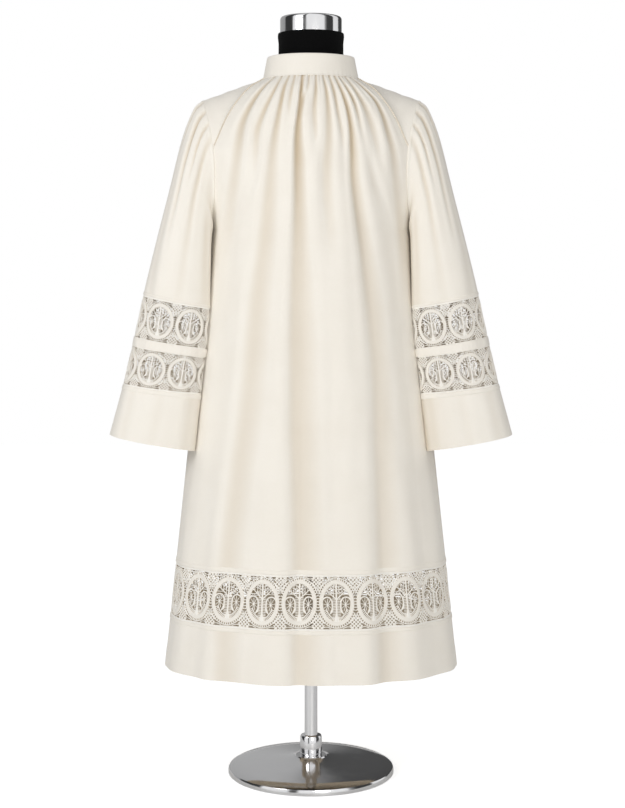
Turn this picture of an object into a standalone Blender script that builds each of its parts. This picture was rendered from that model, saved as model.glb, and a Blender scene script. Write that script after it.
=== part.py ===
"""A surplice worn by a limbless dress form, which holds it open and stands on its own base.

Metres, +Z up. The garment's back faces -Y, the wearer's left side is -X, and the origin is
the centre of the stand's base, on the floor.
"""

import math

import bmesh
import bpy
import numpy as np
from mathutils import Vector
from mathutils.geometry import delaunay_2d_cdt

BACK = -1
FRONT = 1
SIDE_NAMES = {-1: "left", 1: "right"}
HALF_NAMES = {BACK: "back", FRONT: "front"}

# Cloth
GAP = 0.0003
WALL = 0.0022
COLLAR_WALL = 0.0026

# Heights of the seams that run round the garment
COLLAR_TOP = 1.367
NECK_SEAM = 1.327
PIPING_END = 1.197
UNDERARM = 1.044
LACE_TOP = 0.415
LACE_BOTTOM = 0.312
HEM = 0.215

# The neck seam and the collar's top edge are ellipses
NECK_HALF_WIDTH = 0.0885
NECK_HALF_DEPTH = 0.080
COLLAR_TOP_HALF_WIDTH = 0.0815
COLLAR_TOP_HALF_DEPTH = 0.0750
YOKE_NECK_DEPTH = 0.020
SLIT_WIDTH = 0.001
SLIT_FOOT = 1.128

# Half-depth of the body at each height, behind and in front
BODY_DEPTHS = {
    "z": (0.215, 0.312, 0.415, 0.619, 0.800, 0.974, 1.098, 1.197, 1.250, 1.282, 1.310, 1.327),
    "back": (0.185, 0.172, 0.155, 0.150, 0.147, 0.146, 0.140, 0.126, 0.117, 0.108, 0.095, 0.080),
    "front": (0.178, 0.166, 0.152, 0.146, 0.142, 0.140, 0.134, 0.120, 0.111, 0.103, 0.092, 0.080),
}
SIDE_FLARE = 0.1110

# The piped seam between a panel and the shoulder yoke, from the armhole up to the collar
PIPING = {
    "z": (1.197, 1.216, 1.250, 1.282, 1.310, 1.327),
    "x": (0.1788, 0.1704, 0.1554, 0.1350, 0.1100, 0.0857),
    "y": (0.0743, 0.0733, 0.0683, 0.0593, 0.0425, 0.0200),
}
PIPING_RADIUS = 0.0012
PIPING_TOP = 1.322
PIPING_FOOT = 1.204
YOKE_CREST = 1.8
# Points where yoke, sleeve and form meet, over the shoulder from one piped seam to the other
SHOULDER_POINTS = 9

# Rows and columns of the panels: the gathers are two columns each
GATHER_ROWS = (1.327, 1.318, 1.308, 1.295, 1.280, 1.264, 1.244, 1.221, 1.197)
ARMHOLE_ROWS = (1.172, 1.138, 1.103, 1.069)
BODY_ROWS = (UNDERARM, 0.950, 0.840, 0.730, 0.620, 0.520, LACE_TOP + GAP / 2)
PANEL_COLUMNS = 36
GATHER_HEIGHT = {
    "z": (1.080, 1.150, 1.250, 1.310, 1.327),
    "height": (0.0, 0.0005, 0.0010, 0.0011, 0.0008),
}

# Large folds of the body: where each leaves the collar and reaches the hem, from -1 at the
# left side seam to 1 at the right one, its half-width there and its depth at the hem
FOLDS = {
    BACK: {
        "collar": (-0.66, -0.40, -0.14, 0.03, 0.20, 0.42, 0.66),
        "hem": (-0.74, -0.45, -0.17, 0.03, 0.23, 0.50, 0.77),
        "half_width": (0.15, 0.15, 0.13, 0.10, 0.14, 0.15, 0.14),
        "depth": (0.0060, 0.0080, 0.0100, 0.0040, 0.0090, 0.0075, 0.0055),
    },
    FRONT: {
        "collar": (-0.62, -0.36, -0.16, 0.12, 0.38, 0.64),
        "hem": (-0.72, -0.42, -0.15, 0.14, 0.46, 0.74),
        "half_width": (0.15, 0.15, 0.14, 0.14, 0.16, 0.15),
        "depth": (0.0060, 0.0085, 0.0080, 0.0090, 0.0075, 0.0060),
    },
}
FOLD_GROWTH = {
    "z": (0.215, 0.415, 0.800, 1.100, 1.250, 1.327),
    "share": (1.0, 0.75, 0.55, 0.45, 0.25, 0.0),
}
FOLD_SEAT = 0.35

# Sleeve sections, from the armhole to the cuff's edge: the outer and the inner end of each in
# the XZ plane, its half-depth, its middle in Y, its squareness and how far it bows inwards
SLEEVE = {
    "outer_x": (0.2000, 0.2160, 0.2275, 0.2365, 0.2475, 0.2655, 0.2842, 0.3028, 0.3137,
                0.3327, 0.3352, 0.3540, 0.3800),
    "outer_z": (1.2880, 1.2770, 1.2550, 1.2325, 1.1955, 1.1205, 1.0455, 0.9700, 0.9255,
                0.8430, 0.8325, 0.7555, 0.6620),
    "inner_x": (0.1890, 0.1895, 0.1900, 0.1900, 0.1890, 0.1875, 0.1870, 0.1870, 0.1875,
                0.1930, 0.1950, 0.2015, 0.2130),
    "inner_z": (1.0440, 1.0390, 1.0330, 1.0260, 1.0115, 0.9745, 0.9425, 0.9150, 0.8990,
                0.8185, 0.8090, 0.7365, 0.6310),
    "half_depth": (0.0775, 0.0780, 0.0780, 0.0780, 0.0775, 0.0760, 0.0740, 0.0720, 0.0700,
                   0.0680, 0.0675, 0.0640, 0.0660),
    "middle_y": (0.0000, -0.0010, -0.0030, -0.0050, -0.0080, -0.0140, -0.0190, -0.0230, -0.0250,
                 -0.0270, -0.0275, -0.0290, -0.0310),
    "square": (2.00, 2.05, 2.10, 2.15, 2.20, 2.30, 2.40, 2.50, 2.50, 2.50, 2.50, 2.50, 2.40),
    "bow": (0.0180, 0.0150, 0.0120, 0.0090, 0.0050, 0.0020, 0.0, 0.0, 0.0, 0.0, 0.0, 0.0, 0.0),
}
UNDERARM_HALF_WIDTH = SLEEVE["inner_x"][0]
SLEEVE_HEAD_GATHERS = (0.0, 0.0012, 0.0014, 0.0010, 0.0005)
STRAIGHT_ROW = 7
UPPER_LACE_TOP_ROW = 8
STRIP_TOP_ROW = 9
LOWER_LACE_TOP_ROW = 10
CUFF_TOP_ROW = 11
CUFF_EDGE_ROW = 12
SLEEVE_CLEARANCE = 0.006
BAND_COLUMNS = 20

# Lace medallions, as offsets from a medallion's centre: the open lobes beside its stem, the
# eyes of its two scrolls, and the open wedge between two medallions
BODY_MEDALLIONS = 10
SLEEVE_MEDALLIONS = 4
BODY_LACE_SHIFT = 0.013
UPPER_LOBE = ((0.0030, 0.0290), (0.0125, 0.0215), (0.0195, 0.0090), (0.0030, 0.0090))
SCROLL_EYE = ((0.0085, 0.0020), (0.0195, 0.0020), (0.0185, -0.0120), (0.0115, -0.0165))
WEDGE = ((-0.0095, 0.0420), (0.0095, 0.0420), (0.0, 0.0270))
SLEEVE_MOTIF_WIDTH = 0.80
SLEEVE_MOTIF_HEIGHT = 0.84
LACE_MARGIN = 0.003

# The dress form
YOKE_SEAT = 0.0004
SEAM_EASE = 0.0015
PANEL_CLEARANCE = 0.0070
NECK_RINGS = {
    "z": (1.3340, 1.3440, 1.3560, 1.3930, 1.4040, 1.4112),
    "half_width": (0.0765, 0.0670, 0.0615, 0.0608, 0.0622, 0.0615),
    "half_depth": (0.0690, 0.0640, 0.0615, 0.0608, 0.0622, 0.0615),
}
TORSO_RINGS = {
    "z": (1.168, 1.100, 1.020, 0.940, 0.860, 0.780, 0.700, 0.690),
    "half_width": (0.170, 0.161, 0.141, 0.125, 0.138, 0.160, 0.158, 0.142),
    "half_depth": (0.109, 0.116, 0.110, 0.100, 0.107, 0.118, 0.115, 0.099),
}
CAPE_COLUMNS = (-0.75, -0.50, -0.25, 0.0, 0.25, 0.50, 0.75)
CAP_RADIUS = 0.0576
CAP_FOOT = 1.4115
CAP_TOP = 1.4425
CAP_ROUNDING = 0.006
POLE_RADIUS = 0.0125
CHEST_HALF_WIDTH = 0.175
CHEST_HALF_DEPTH = 0.115
BASE_PROFILE = ((0.160, 0.0), (0.160, 0.010), (0.152, 0.016), (0.060, 0.026), (0.030, 0.034))
ROUND_SIDES = 32

# Fine steps for measuring along a curve, and the small angle that gives its direction
ARC_STEPS = 180
SMALL_ANGLE = 1e-3


def clear_scene():
    for thing in list(bpy.data.objects):
        bpy.data.objects.remove(thing)


def finish(name, colour, roughness, metallic):
    material = bpy.data.materials.new(name)
    material.use_nodes = True
    shader = material.node_tree.nodes["Principled BSDF"]
    shader.inputs["Base Color"].default_value = (*colour, 1.0)
    shader.inputs["Roughness"].default_value = roughness
    shader.inputs["Metallic"].default_value = metallic
    return material


def place(name, points, faces, material):
    """Makes one named object from points and faces, with every face turned outwards."""
    used = sorted({index for face in faces for index in face})
    renumbered = {old: new for new, old in enumerate(used)}
    mesh = bpy.data.meshes.new(name)
    mesh.from_pydata(
        [tuple(float(value) for value in points[index]) for index in used],
        [],
        [tuple(renumbered[index] for index in face) for face in faces],
    )
    shape = bmesh.new()
    shape.from_mesh(mesh)
    bmesh.ops.recalc_face_normals(shape, faces=shape.faces)
    shape.to_mesh(mesh)
    shape.free()
    mesh.materials.append(material)
    piece = bpy.data.objects.new(name, mesh)
    bpy.context.scene.collection.objects.link(piece)
    return piece


def strip_faces(upper, lower):
    """Triangles between two rows of point numbers, where one row may have half the cells."""
    faces = []
    if len(upper) == len(lower):
        for k in range(len(upper) - 1):
            faces.append((upper[k], upper[k + 1], lower[k + 1]))
            faces.append((upper[k], lower[k + 1], lower[k]))
        return faces
    flipped = len(upper) < len(lower)
    fine, coarse = (lower, upper) if flipped else (upper, lower)
    for k in range(len(coarse) - 1):
        first, middle, last = fine[2 * k : 2 * k + 3]
        for face in (
            (first, middle, coarse[k]),
            (middle, coarse[k + 1], coarse[k]),
            (middle, last, coarse[k + 1]),
        ):
            faces.append(face[::-1] if flipped else face)
    return faces


def grid_faces(rows, columns, closed=False):
    faces = []
    for i in range(rows - 1):
        upper = [i * columns + j for j in range(columns)]
        lower = [(i + 1) * columns + j for j in range(columns)]
        if closed:
            upper.append(upper[0])
            lower.append(lower[0])
        faces += strip_faces(upper, lower)
    return faces


def open_edges(faces):
    """The directed edges that only one face has."""
    edges = {(a, b) for face in faces for a, b in zip(face, face[1:] + face[:1])}
    return [(a, b) for a, b in edges if (b, a) not in edges]


def wall(name, outer, inner, outer_faces, material, inner_faces=None):
    """A closed wall: an outer surface, an inner one, and a strip round every open edge."""
    count = len(outer)
    behind = inner_faces or outer_faces
    faces = list(outer_faces)
    faces += [tuple(index + count for index in face[::-1]) for face in behind]
    for a, b in sorted(open_edges(outer_faces)):
        faces.append((b, a, a + count))
        faces.append((b, a + count, b + count))
    return place(name, np.vstack([outer, inner]), faces, material)


def smooth(heights, values, z):
    """A smooth curve through the values of a table, by cubic steps between its heights."""
    heights, values = np.array(heights), np.array(values)
    slopes = np.gradient(values, heights)
    z = np.clip(z, heights[0], heights[-1])
    k = np.clip(np.searchsorted(heights, z) - 1, 0, len(heights) - 2)
    step = heights[k + 1] - heights[k]
    s = (z - heights[k]) / step
    return (
        (2 * s**3 - 3 * s**2 + 1) * values[k]
        + (s**3 - 2 * s**2 + s) * step * slopes[k]
        + (3 * s**2 - 2 * s**3) * values[k + 1]
        + (s**3 - s**2) * step * slopes[k + 1]
    )


def unit(vectors):
    return vectors / np.linalg.norm(vectors, axis=-1, keepdims=True)


def sleeve_value(column, row):
    return np.interp(row, np.arange(len(SLEEVE[column])), SLEEVE[column])


def armhole_turn(z):
    """The angle round the armhole, from 0 at the shoulder tip to pi at the underarm."""
    top, foot = SLEEVE["outer_z"][0], SLEEVE["inner_z"][0]
    return np.arccos(np.clip((2 * z - top - foot) / (top - foot), -1, 1))


def armhole_x(z):
    """How far out the armhole's bowed sheet lies at a height."""
    turn = armhole_turn(z)
    top, foot = SLEEVE["outer_x"][0], SLEEVE["inner_x"][0]
    return (top + foot) / 2 + (top - foot) / 2 * np.cos(turn) - SLEEVE["bow"][0] * np.sin(turn) ** 2


def armhole_point(side, turn):
    """A point of the armhole seam, behind the shoulder tip for a positive turn."""
    top, foot = SLEEVE["outer_z"][0], SLEEVE["inner_z"][0]
    z = (top + foot) / 2 + (top - foot) / 2 * np.cos(turn)
    y = -SLEEVE["half_depth"][0] * np.sin(turn)
    return np.stack([side * armhole_x(z), y, z], axis=-1)


def side_half_width(z):
    return UNDERARM_HALF_WIDTH + SIDE_FLARE * (UNDERARM - np.minimum(z, UNDERARM))


def panel_edge(z):
    """Half-width and half-depth of a panel's edge: its piped seam, the armhole, the side seam."""
    z = np.asarray(z, float)
    x = np.where(
        z >= PIPING_END,
        smooth(PIPING["z"], PIPING["x"], z),
        np.where(z > UNDERARM, armhole_x(z), side_half_width(z)),
    )
    armhole_y = SLEEVE["half_depth"][0] * np.sin(armhole_turn(z))
    y = np.where(
        z >= PIPING_END,
        smooth(PIPING["z"], PIPING["y"], z),
        np.where(z > UNDERARM, np.maximum(armhole_y, GAP / 2), GAP / 2),
    )
    return x, y


def section(half, z):
    """Half-width, half-depth and half-angle of the elliptical arc that a panel follows at z."""
    x_edge, y_edge = panel_edge(z)
    depth = smooth(BODY_DEPTHS["z"], BODY_DEPTHS[HALF_NAMES[half]], z)
    angle = np.arccos(y_edge / depth)
    return x_edge / np.sin(angle), depth, angle


def outward(half, t, z):
    """The level direction out of a panel."""
    width, depth, angle = section(half, z)
    flat = np.stack(
        [np.sin(t * angle) / width, half * np.cos(t * angle) / depth, np.zeros(np.shape(t * z))],
        axis=-1,
    )
    return unit(flat)


def large_folds(half, t, z):
    """How far the large folds lift the cloth: a soft ridge each, growing towards the hem."""
    table = FOLDS[half]
    down = (NECK_SEAM - z) / (NECK_SEAM - HEM)
    lift = np.zeros(np.shape(t * z))
    growth = np.interp(z, FOLD_GROWTH["z"], FOLD_GROWTH["share"])
    for collar, hem, half_width, depth in zip(*table.values()):
        middle = collar + (hem - collar) * down
        across = np.clip((t - middle) / half_width, -1, 1)
        lift = lift + depth * ((1 + np.cos(math.pi * across)) / 2 - FOLD_SEAT * (1 - across**2))
    return lift * growth * (1 - np.abs(t) ** 6)


def gathers(t, z):
    """Fine gathers under the collar, one for every two columns of a panel."""
    height = np.interp(z, GATHER_HEIGHT["z"], GATHER_HEIGHT["height"])
    return height * np.cos(math.pi * PANEL_COLUMNS * (t + 1) / 2) * (1 - np.abs(t) ** 8)


def body_points(half, t, z, lift):
    """Points of the front or back at places t from -1 to 1, lifted off the plain section."""
    width, depth, angle = section(half, z)
    plain = np.stack(
        [width * np.sin(t * angle), half * depth * np.cos(t * angle), z + np.zeros(np.shape(t * z))],
        axis=-1,
    )
    return plain + outward(half, t, z) * np.asarray(lift)[..., None]


def panel(half, material):
    """The gathered front or back, from the collar to the lace, as a wall with a finer outside."""
    rows = np.array(GATHER_ROWS + ARMHOLE_ROWS + BODY_ROWS)
    places = np.linspace(-1, 1, PANEL_COLUMNS + 1)
    middle = PANEL_COLUMNS // 2
    if half == FRONT:
        edge = SLIT_WIDTH / 2 / UNDERARM_HALF_WIDTH
        places = np.concatenate([places[:middle], [-edge, edge], places[middle + 1 :]])
    t, z = np.meshgrid(places, rows)
    large = large_folds(half, t, z)
    outer = body_points(half, t, z, large + gathers(t, z)).reshape(-1, 3)
    inner = body_points(half, t, z, large - WALL).reshape(-1, 3)
    count = len(places)
    runs = [range(count)]
    if half == FRONT:
        runs = [range(middle + 1), range(middle + 1, count)]
    outer_faces, inner_faces = [], []
    for i in range(len(rows) - 1):
        thin_above = 0 < i < len(GATHER_ROWS)
        thin_below = i + 1 < len(GATHER_ROWS)
        for run in runs:
            upper = [i * count + j for j in run]
            lower = [(i + 1) * count + j for j in run]
            outer_faces += strip_faces(upper, lower)
            inner_faces += strip_faces(
                upper[::2] if thin_above else upper, lower[::2] if thin_below else lower
            )
        if half == FRONT and rows[i] < SLIT_FOOT:
            join = [i * count + middle, i * count + middle + 1]
            below = [index + count for index in join]
            outer_faces += strip_faces(join, below)
            inner_faces += strip_faces(join, below)
    return wall(f"{HALF_NAMES[half]}_panel", outer, inner, outer_faces, material, inner_faces)


def collar(material):
    """The stand collar: a band round the neck, its two ends meeting at the front."""
    half_slit = SLIT_WIDTH / 2 / NECK_HALF_WIDTH
    turn = np.linspace(half_slit, 2 * math.pi - half_slit, ROUND_SIDES + 1)[None, :]
    share = np.array([0.0, 0.5, 1.0])[:, None]
    z = NECK_SEAM + GAP + (COLLAR_TOP - NECK_SEAM - GAP) * share
    width = NECK_HALF_WIDTH + (COLLAR_TOP_HALF_WIDTH - NECK_HALF_WIDTH) * share
    depth = NECK_HALF_DEPTH + (COLLAR_TOP_HALF_DEPTH - NECK_HALF_DEPTH) * share
    flat = np.zeros(turn.shape) * z
    outer = np.stack([width * np.sin(turn), depth * np.cos(turn), z + flat], axis=-1)
    out = unit(np.stack([np.sin(turn) / width, np.cos(turn) / depth, flat], axis=-1))
    inner = outer - out * COLLAR_WALL
    faces = grid_faces(3, ROUND_SIDES + 1)
    return wall("collar", outer.reshape(-1, 3), inner.reshape(-1, 3), faces, material)


def yoke_grid(side):
    """The shoulder yoke's outer points and wall directions, from the neck out to the armhole.

    It is spanned by its four seams. The seams' bend counts less towards the shoulder line, so
    that the shoulder itself is straight.
    """
    rows = np.array(GATHER_ROWS)
    last_turn = armhole_turn(PIPING_END)
    turns = armhole_turns()
    t = (turns[np.abs(turns) <= last_turn + 1e-9] / last_turn)[None, :]
    s = ((NECK_SEAM - rows) / (NECK_SEAM - PIPING_END))[:, None]
    x_edge, y_edge = panel_edge(rows)
    seam = {
        half: np.stack([side * x_edge, half * y_edge, rows], axis=-1)[:, None, :]
        for half in (BACK, FRONT)
    }
    neck_turn = math.asin(YOKE_NECK_DEPTH / NECK_HALF_DEPTH) * t
    neck = np.stack(
        [
            side * NECK_HALF_WIDTH * np.cos(neck_turn),
            -NECK_HALF_DEPTH * np.sin(neck_turn),
            np.full(t.shape, NECK_SEAM),
        ],
        axis=-1,
    )
    arm = armhole_point(side, last_turn * t)
    s, back_share = s[..., None], ((1 + t) / 2)[..., None]
    across = neck * (1 - s) + arm * s
    along = seam[BACK] * back_share + seam[FRONT] * (1 - back_share)
    ends = [seam[BACK][k] * back_share[0] + seam[FRONT][k] * (1 - back_share[0]) for k in (0, -1)]
    corners = ends[0][None] * (1 - s) + ends[1][None] * s
    points = across + np.abs(t)[..., None] ** YOKE_CREST * (along - corners)
    down = np.gradient(points, axis=0)
    over = np.gradient(points, axis=1)
    normal = unit(np.cross(down, over)) * side
    normal *= np.sign(normal[..., 2:3])
    edge = np.abs(t)[..., None] ** 4
    level = {half: outward(half, np.float64(side), rows)[:, None, :] for half in (BACK, FRONT)}
    level_here = np.where(t[..., None] > 0, level[BACK], level[FRONT])
    direction = unit(normal * (1 - edge) + level_here * edge)
    for half, share in ((BACK, np.maximum(t, 0)), (FRONT, np.maximum(-t, 0))):
        inwards = unit(np.cross(level[half], [0.0, 0.0, 1.0]))
        inwards *= -half * np.sign(inwards[..., 1:2])
        points = points + GAP * inwards * share[..., None]
    return points, direction


def armhole_turns():
    """The angles at which yoke, panels and sleeve meet round the armhole, all on the same points."""
    over_shoulder = np.linspace(-1, 1, SHOULDER_POINTS) * armhole_turn(PIPING_END)
    behind = [armhole_turn(z) for z in ARMHOLE_ROWS]
    return np.concatenate([over_shoulder, behind, [math.pi], [-turn for turn in behind[::-1]]])


def shoulder_yoke(side, material):
    points, direction = yoke_grid(side)
    rows, columns = points.shape[:2]
    # The form's rings run the same way round, so its triangles lie under the yoke's
    points, direction = points[:, ::-side], direction[:, ::-side]
    inner = points - direction * WALL
    return wall(
        f"shoulder_yoke_{SIDE_NAMES[side]}",
        points.reshape(-1, 3),
        inner.reshape(-1, 3),
        grid_faces(rows, columns),
        material,
    )


def piping(side, half, material):
    """A thin cord on the piped seam, of four sides, made from the seam's points moved out."""
    rows = np.array(GATHER_ROWS)[::-1]
    x_edge, y_edge = panel_edge(rows)
    inside = [z for z in rows if PIPING_FOOT < z < PIPING_TOP]
    heights = np.array([PIPING_FOOT, *inside, PIPING_TOP])
    line = np.stack(
        [
            side * np.interp(heights, rows, x_edge),
            half * np.interp(heights, rows, y_edge),
            heights,
        ],
        axis=-1,
    )
    along = unit(np.gradient(line, axis=0))
    level = outward(half, np.float64(side), heights)
    across = unit(np.cross(level, [0.0, 0.0, 1.0]))
    out = unit(np.cross(along, across))
    out *= np.sign(out[:, 2:3])
    across = np.cross(along, out)
    middle = line + out * (PIPING_RADIUS + 2 * GAP)
    ring = np.stack(
        [
            middle + PIPING_RADIUS * out,
            middle + PIPING_RADIUS * across,
            middle - PIPING_RADIUS * out,
            middle - PIPING_RADIUS * across,
        ],
        axis=1,
    )
    faces = grid_faces(len(heights), 4, closed=True)
    top = 4 * (len(heights) - 1)
    faces += [(0, 2, 1), (0, 3, 2), (top, top + 1, top + 2), (top, top + 2, top + 3)]
    name = f"piping_{HALF_NAMES[half]}_{SIDE_NAMES[side]}"
    return place(name, ring.reshape(-1, 3), faces, material)


def clear_of_body(x, y, z):
    """The sleeve is pressed in where it would reach the body's side."""
    half_depth = np.where(
        y < 0,
        smooth(BODY_DEPTHS["z"], BODY_DEPTHS["back"], z),
        smooth(BODY_DEPTHS["z"], BODY_DEPTHS["front"], z),
    )
    bulge = np.sqrt(np.maximum(1 - (y / half_depth) ** 2, 0))
    room = np.interp(z, (UNDERARM - 0.015, UNDERARM + 0.015), (SLEEVE_CLEARANCE, 0.0))
    return np.maximum(x, side_half_width(z) * bulge + room)


def seam_step(top_row, foot_row):
    """Half of a seam's gap, as a share of a row between two sleeve sections."""
    width = sleeve_value("outer_x", foot_row) - sleeve_value("outer_x", top_row)
    height = sleeve_value("outer_z", top_row) - sleeve_value("outer_z", foot_row)
    return GAP / 2 * (foot_row - top_row) / math.hypot(width, height)


def sleeve_ring(side, row, turn):
    """Points and level-with-the-section outward directions of a sleeve section at some angles."""
    low = {column: sleeve_value(column, row) for column in SLEEVE}
    outer = np.array([low["outer_x"], low["outer_z"]])
    inner = np.array([low["inner_x"], low["inner_z"]])
    middle, reach = (outer + inner) / 2, (outer - inner) / 2
    power = 2 / low["square"]
    # Where the lace and the cuff join the sleeve, a section stays level with its own plane
    lean = reach[1] / reach[0] * np.interp(row, (STRAIGHT_ROW - 2, STRAIGHT_ROW), (0.0, 1.0))

    def points_at(angle):
        c = np.sign(np.cos(angle)) * np.abs(np.cos(angle)) ** power
        s = np.sign(np.sin(angle)) * np.abs(np.sin(angle)) ** power
        y = low["middle_y"] - low["half_depth"] * s
        z = middle[1] + reach[1] * c
        x = middle[0] + reach[0] * c - low["bow"] * np.sin(angle) ** 2
        clear = clear_of_body(x, y, z)
        return np.stack([side * clear, y, z + (clear - x) * lean], axis=-1)

    turn = np.asarray(turn, float)
    along = unit(points_at(turn + SMALL_ANGLE) - points_at(turn - SMALL_ANGLE))
    lengthwise = np.array([side * reach[0], 0.0, reach[1]])
    level = unit(np.cross(lengthwise, [0.0, 1.0, 0.0]))
    out = unit(np.cross(along, level))
    centre = np.array([side * middle[0], low["middle_y"], middle[1]])
    points = points_at(turn)
    facing = np.sign(((points - centre) * out).sum(axis=-1, keepdims=True))
    return points, out * facing


def even_turns(side, row, half, shares):
    """The angles that lie at even shares of the way round half a sleeve section."""
    sweep = np.linspace(0, math.pi, ARC_STEPS + 1) * (-half)
    points, _ = sleeve_ring(side, row, sweep)
    steps = np.linalg.norm(np.diff(points, axis=0), axis=1)
    length = np.concatenate([[0.0], np.cumsum(steps)])
    ends = GAP / 2
    wanted = ends + np.asarray(shares) * (length[-1] - 2 * ends)
    return np.interp(wanted, length, sweep), length[-1]


def sleeve(side, material):
    """The sleeve from the armhole to its lace, with four soft gathers at its head."""
    turns = armhole_turns()
    outer, inner = [], []
    for row in range(UPPER_LACE_TOP_ROW + 1):
        if row == 0:
            points = armhole_point(side, turns) + [side * GAP, 0.0, 0.0]
            shrink = unit(np.stack([np.zeros(len(turns)), *armhole_radial(turns)], axis=-1))
            behind = points - shrink * WALL
            behind[:, 0] = side * (armhole_x(behind[:, 2]) + GAP)
        else:
            seam = seam_step(row - 1, row) if row == UPPER_LACE_TOP_ROW else 0.0
            points, out = sleeve_ring(side, row - seam, turns)
            waves = SLEEVE_HEAD_GATHERS[row] if row < len(SLEEVE_HEAD_GATHERS) else 0.0
            order = np.arange(len(turns))
            signs = np.where(order < SHOULDER_POINTS, (-1.0) ** order, 0.0)
            behind = points - out * WALL
            points = points + out * (waves * signs)[:, None]
        outer.append(points)
        inner.append(behind)
    faces = grid_faces(len(outer), len(turns), closed=True)
    return wall(f"sleeve_{SIDE_NAMES[side]}", np.vstack(outer), np.vstack(inner), faces, material)


def armhole_radial(turns):
    """The Y and Z parts of the direction out of the armhole's oval."""
    half_height = (SLEEVE["outer_z"][0] - SLEEVE["inner_z"][0]) / 2
    return -np.sin(turns) / SLEEVE["half_depth"][0], np.cos(turns) / half_height


def sleeve_band(name, side, top_row, foot_row, steps, material):
    """A closed band of the sleeve between two sections, such as the cuff."""
    seam = seam_step(top_row, foot_row)
    outer, inner = [], []
    for row in np.linspace(top_row + seam, foot_row - seam, steps + 1):
        shares = np.linspace(0, 1, BAND_COLUMNS // 2 + 1)
        back_turns, _ = even_turns(side, row, BACK, shares)
        front_turns, _ = even_turns(side, row, FRONT, shares[1:-1][::-1])
        points, out = sleeve_ring(side, row, np.concatenate([back_turns, front_turns]))
        outer.append(points)
        inner.append(points - out * WALL)
    faces = grid_faces(steps + 1, BAND_COLUMNS, closed=True)
    return wall(
        f"{name}_{SIDE_NAMES[side]}", np.vstack(outer), np.vstack(inner), faces, material
    )


def inside(point, polygon):
    """Whether a point lies in a polygon, by counting the edges to its right."""
    count = 0
    for (x1, y1), (x2, y2) in zip(polygon, polygon[1:] + polygon[:1]):
        if (y1 > point[1]) != (y2 > point[1]):
            count += point[0] < (x2 - x1) * (point[1] - y1) / (y2 - y1) + x1
    return count % 2 == 1


def lace_holes(length, height, medallions, shift, width_scale, height_scale, wedges):
    """The cut-through gaps of a lace band, as outlines in its flat length and height."""
    pitch = length / medallions
    motifs = []
    for k in range(-1, medallions + 1):
        centre = (k + 0.5) * pitch + shift
        for sign in (1, -1):
            motifs.append((centre, [(sign * x, y) for x, y in UPPER_LOBE]))
            motifs.append((centre, [(sign * x, y) for x, y in SCROLL_EYE]))
            if wedges:
                motifs.append((centre + pitch / 2, [(x, sign * y) for x, y in WEDGE]))
    holes = []
    for centre, outline in motifs:
        hole = [(centre + x * width_scale, height / 2 + y * height_scale) for x, y in outline]
        if all(LACE_MARGIN < x < length - LACE_MARGIN for x, _ in hole):
            holes.append(hole)
    return holes


def lace_faces(length, height, columns, holes):
    """Flat points and triangles of a band with its holes left out."""
    edge = np.linspace(0, length, columns + 1)
    rim = [(x, 0.0) for x in edge] + [(x, height) for x in edge[::-1]]
    flat, edges = [], []
    for loop in [rim, *holes]:
        first = len(flat)
        flat += [Vector(point) for point in loop]
        edges += [(first + k, first + (k + 1) % len(loop)) for k in range(len(loop))]
    points, _, faces, *_ = delaunay_2d_cdt(flat, edges, [], 0, 1e-7)
    kept = []
    for face in faces:
        middle = sum((points[index] for index in face), Vector((0, 0))) / 3
        if not any(inside(middle, hole) for hole in holes):
            kept.append(tuple(face))
    return np.array([tuple(point) for point in points]), kept


def body_lace(half, material):
    """Half of the wide lace band round the skirt, laid along the body's section."""
    z_middle = (LACE_TOP + LACE_BOTTOM) / 2
    sweep = np.linspace(-1, 1, ARC_STEPS + 1)
    line = body_points(half, sweep, np.full(len(sweep), z_middle), np.zeros(len(sweep)))
    length = np.concatenate([[0.0], np.cumsum(np.linalg.norm(np.diff(line, axis=0), axis=1))])
    height = LACE_TOP - LACE_BOTTOM - GAP
    shift = BODY_LACE_SHIFT * -half
    holes = lace_holes(length[-1], height, BODY_MEDALLIONS, shift, 1.0, 1.0, True)
    flat, faces = lace_faces(length[-1], height, 2 * BODY_MEDALLIONS, holes)
    t = np.interp(flat[:, 0], length, sweep)
    z = LACE_BOTTOM + GAP / 2 + flat[:, 1]
    large = large_folds(half, t, z)
    outer = body_points(half, t, z, large)
    inner = body_points(half, t, z, large - WALL)
    return wall(f"body_lace_{HALF_NAMES[half]}", outer, inner, faces, material)


def sleeve_lace(level, side, half, top_row, foot_row, material):
    """Half of a lace band round the sleeve, from the sleeve's outer line to its inner one."""
    middle_row = (top_row + foot_row) / 2
    _, length = even_turns(side, middle_row, half, [0.0])
    top, _ = sleeve_ring(side, top_row, [math.pi / 2])
    foot, _ = sleeve_ring(side, foot_row, [math.pi / 2])
    height = float(np.linalg.norm(top - foot))
    holes = lace_holes(
        length, height, SLEEVE_MEDALLIONS, 0.0, SLEEVE_MOTIF_WIDTH, SLEEVE_MOTIF_HEIGHT, False
    )
    flat, faces = lace_faces(length, height, 2 * SLEEVE_MEDALLIONS, holes)
    seam = seam_step(top_row, foot_row)
    rows = foot_row - seam + (top_row - foot_row + 2 * seam) * flat[:, 1] / height
    outer = np.zeros((len(flat), 3))
    inner = np.zeros((len(flat), 3))
    for k, (share, row) in enumerate(zip(flat[:, 0] / length, rows)):
        turn, _ = even_turns(side, row, half, [share])
        point, out = sleeve_ring(side, row, turn)
        outer[k] = point[0]
        inner[k] = point[0] - out[0] * WALL
    name = f"sleeve_lace_{level}_{SIDE_NAMES[side]}_{HALF_NAMES[half]}"
    return wall(name, outer, inner, faces, material)


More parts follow.
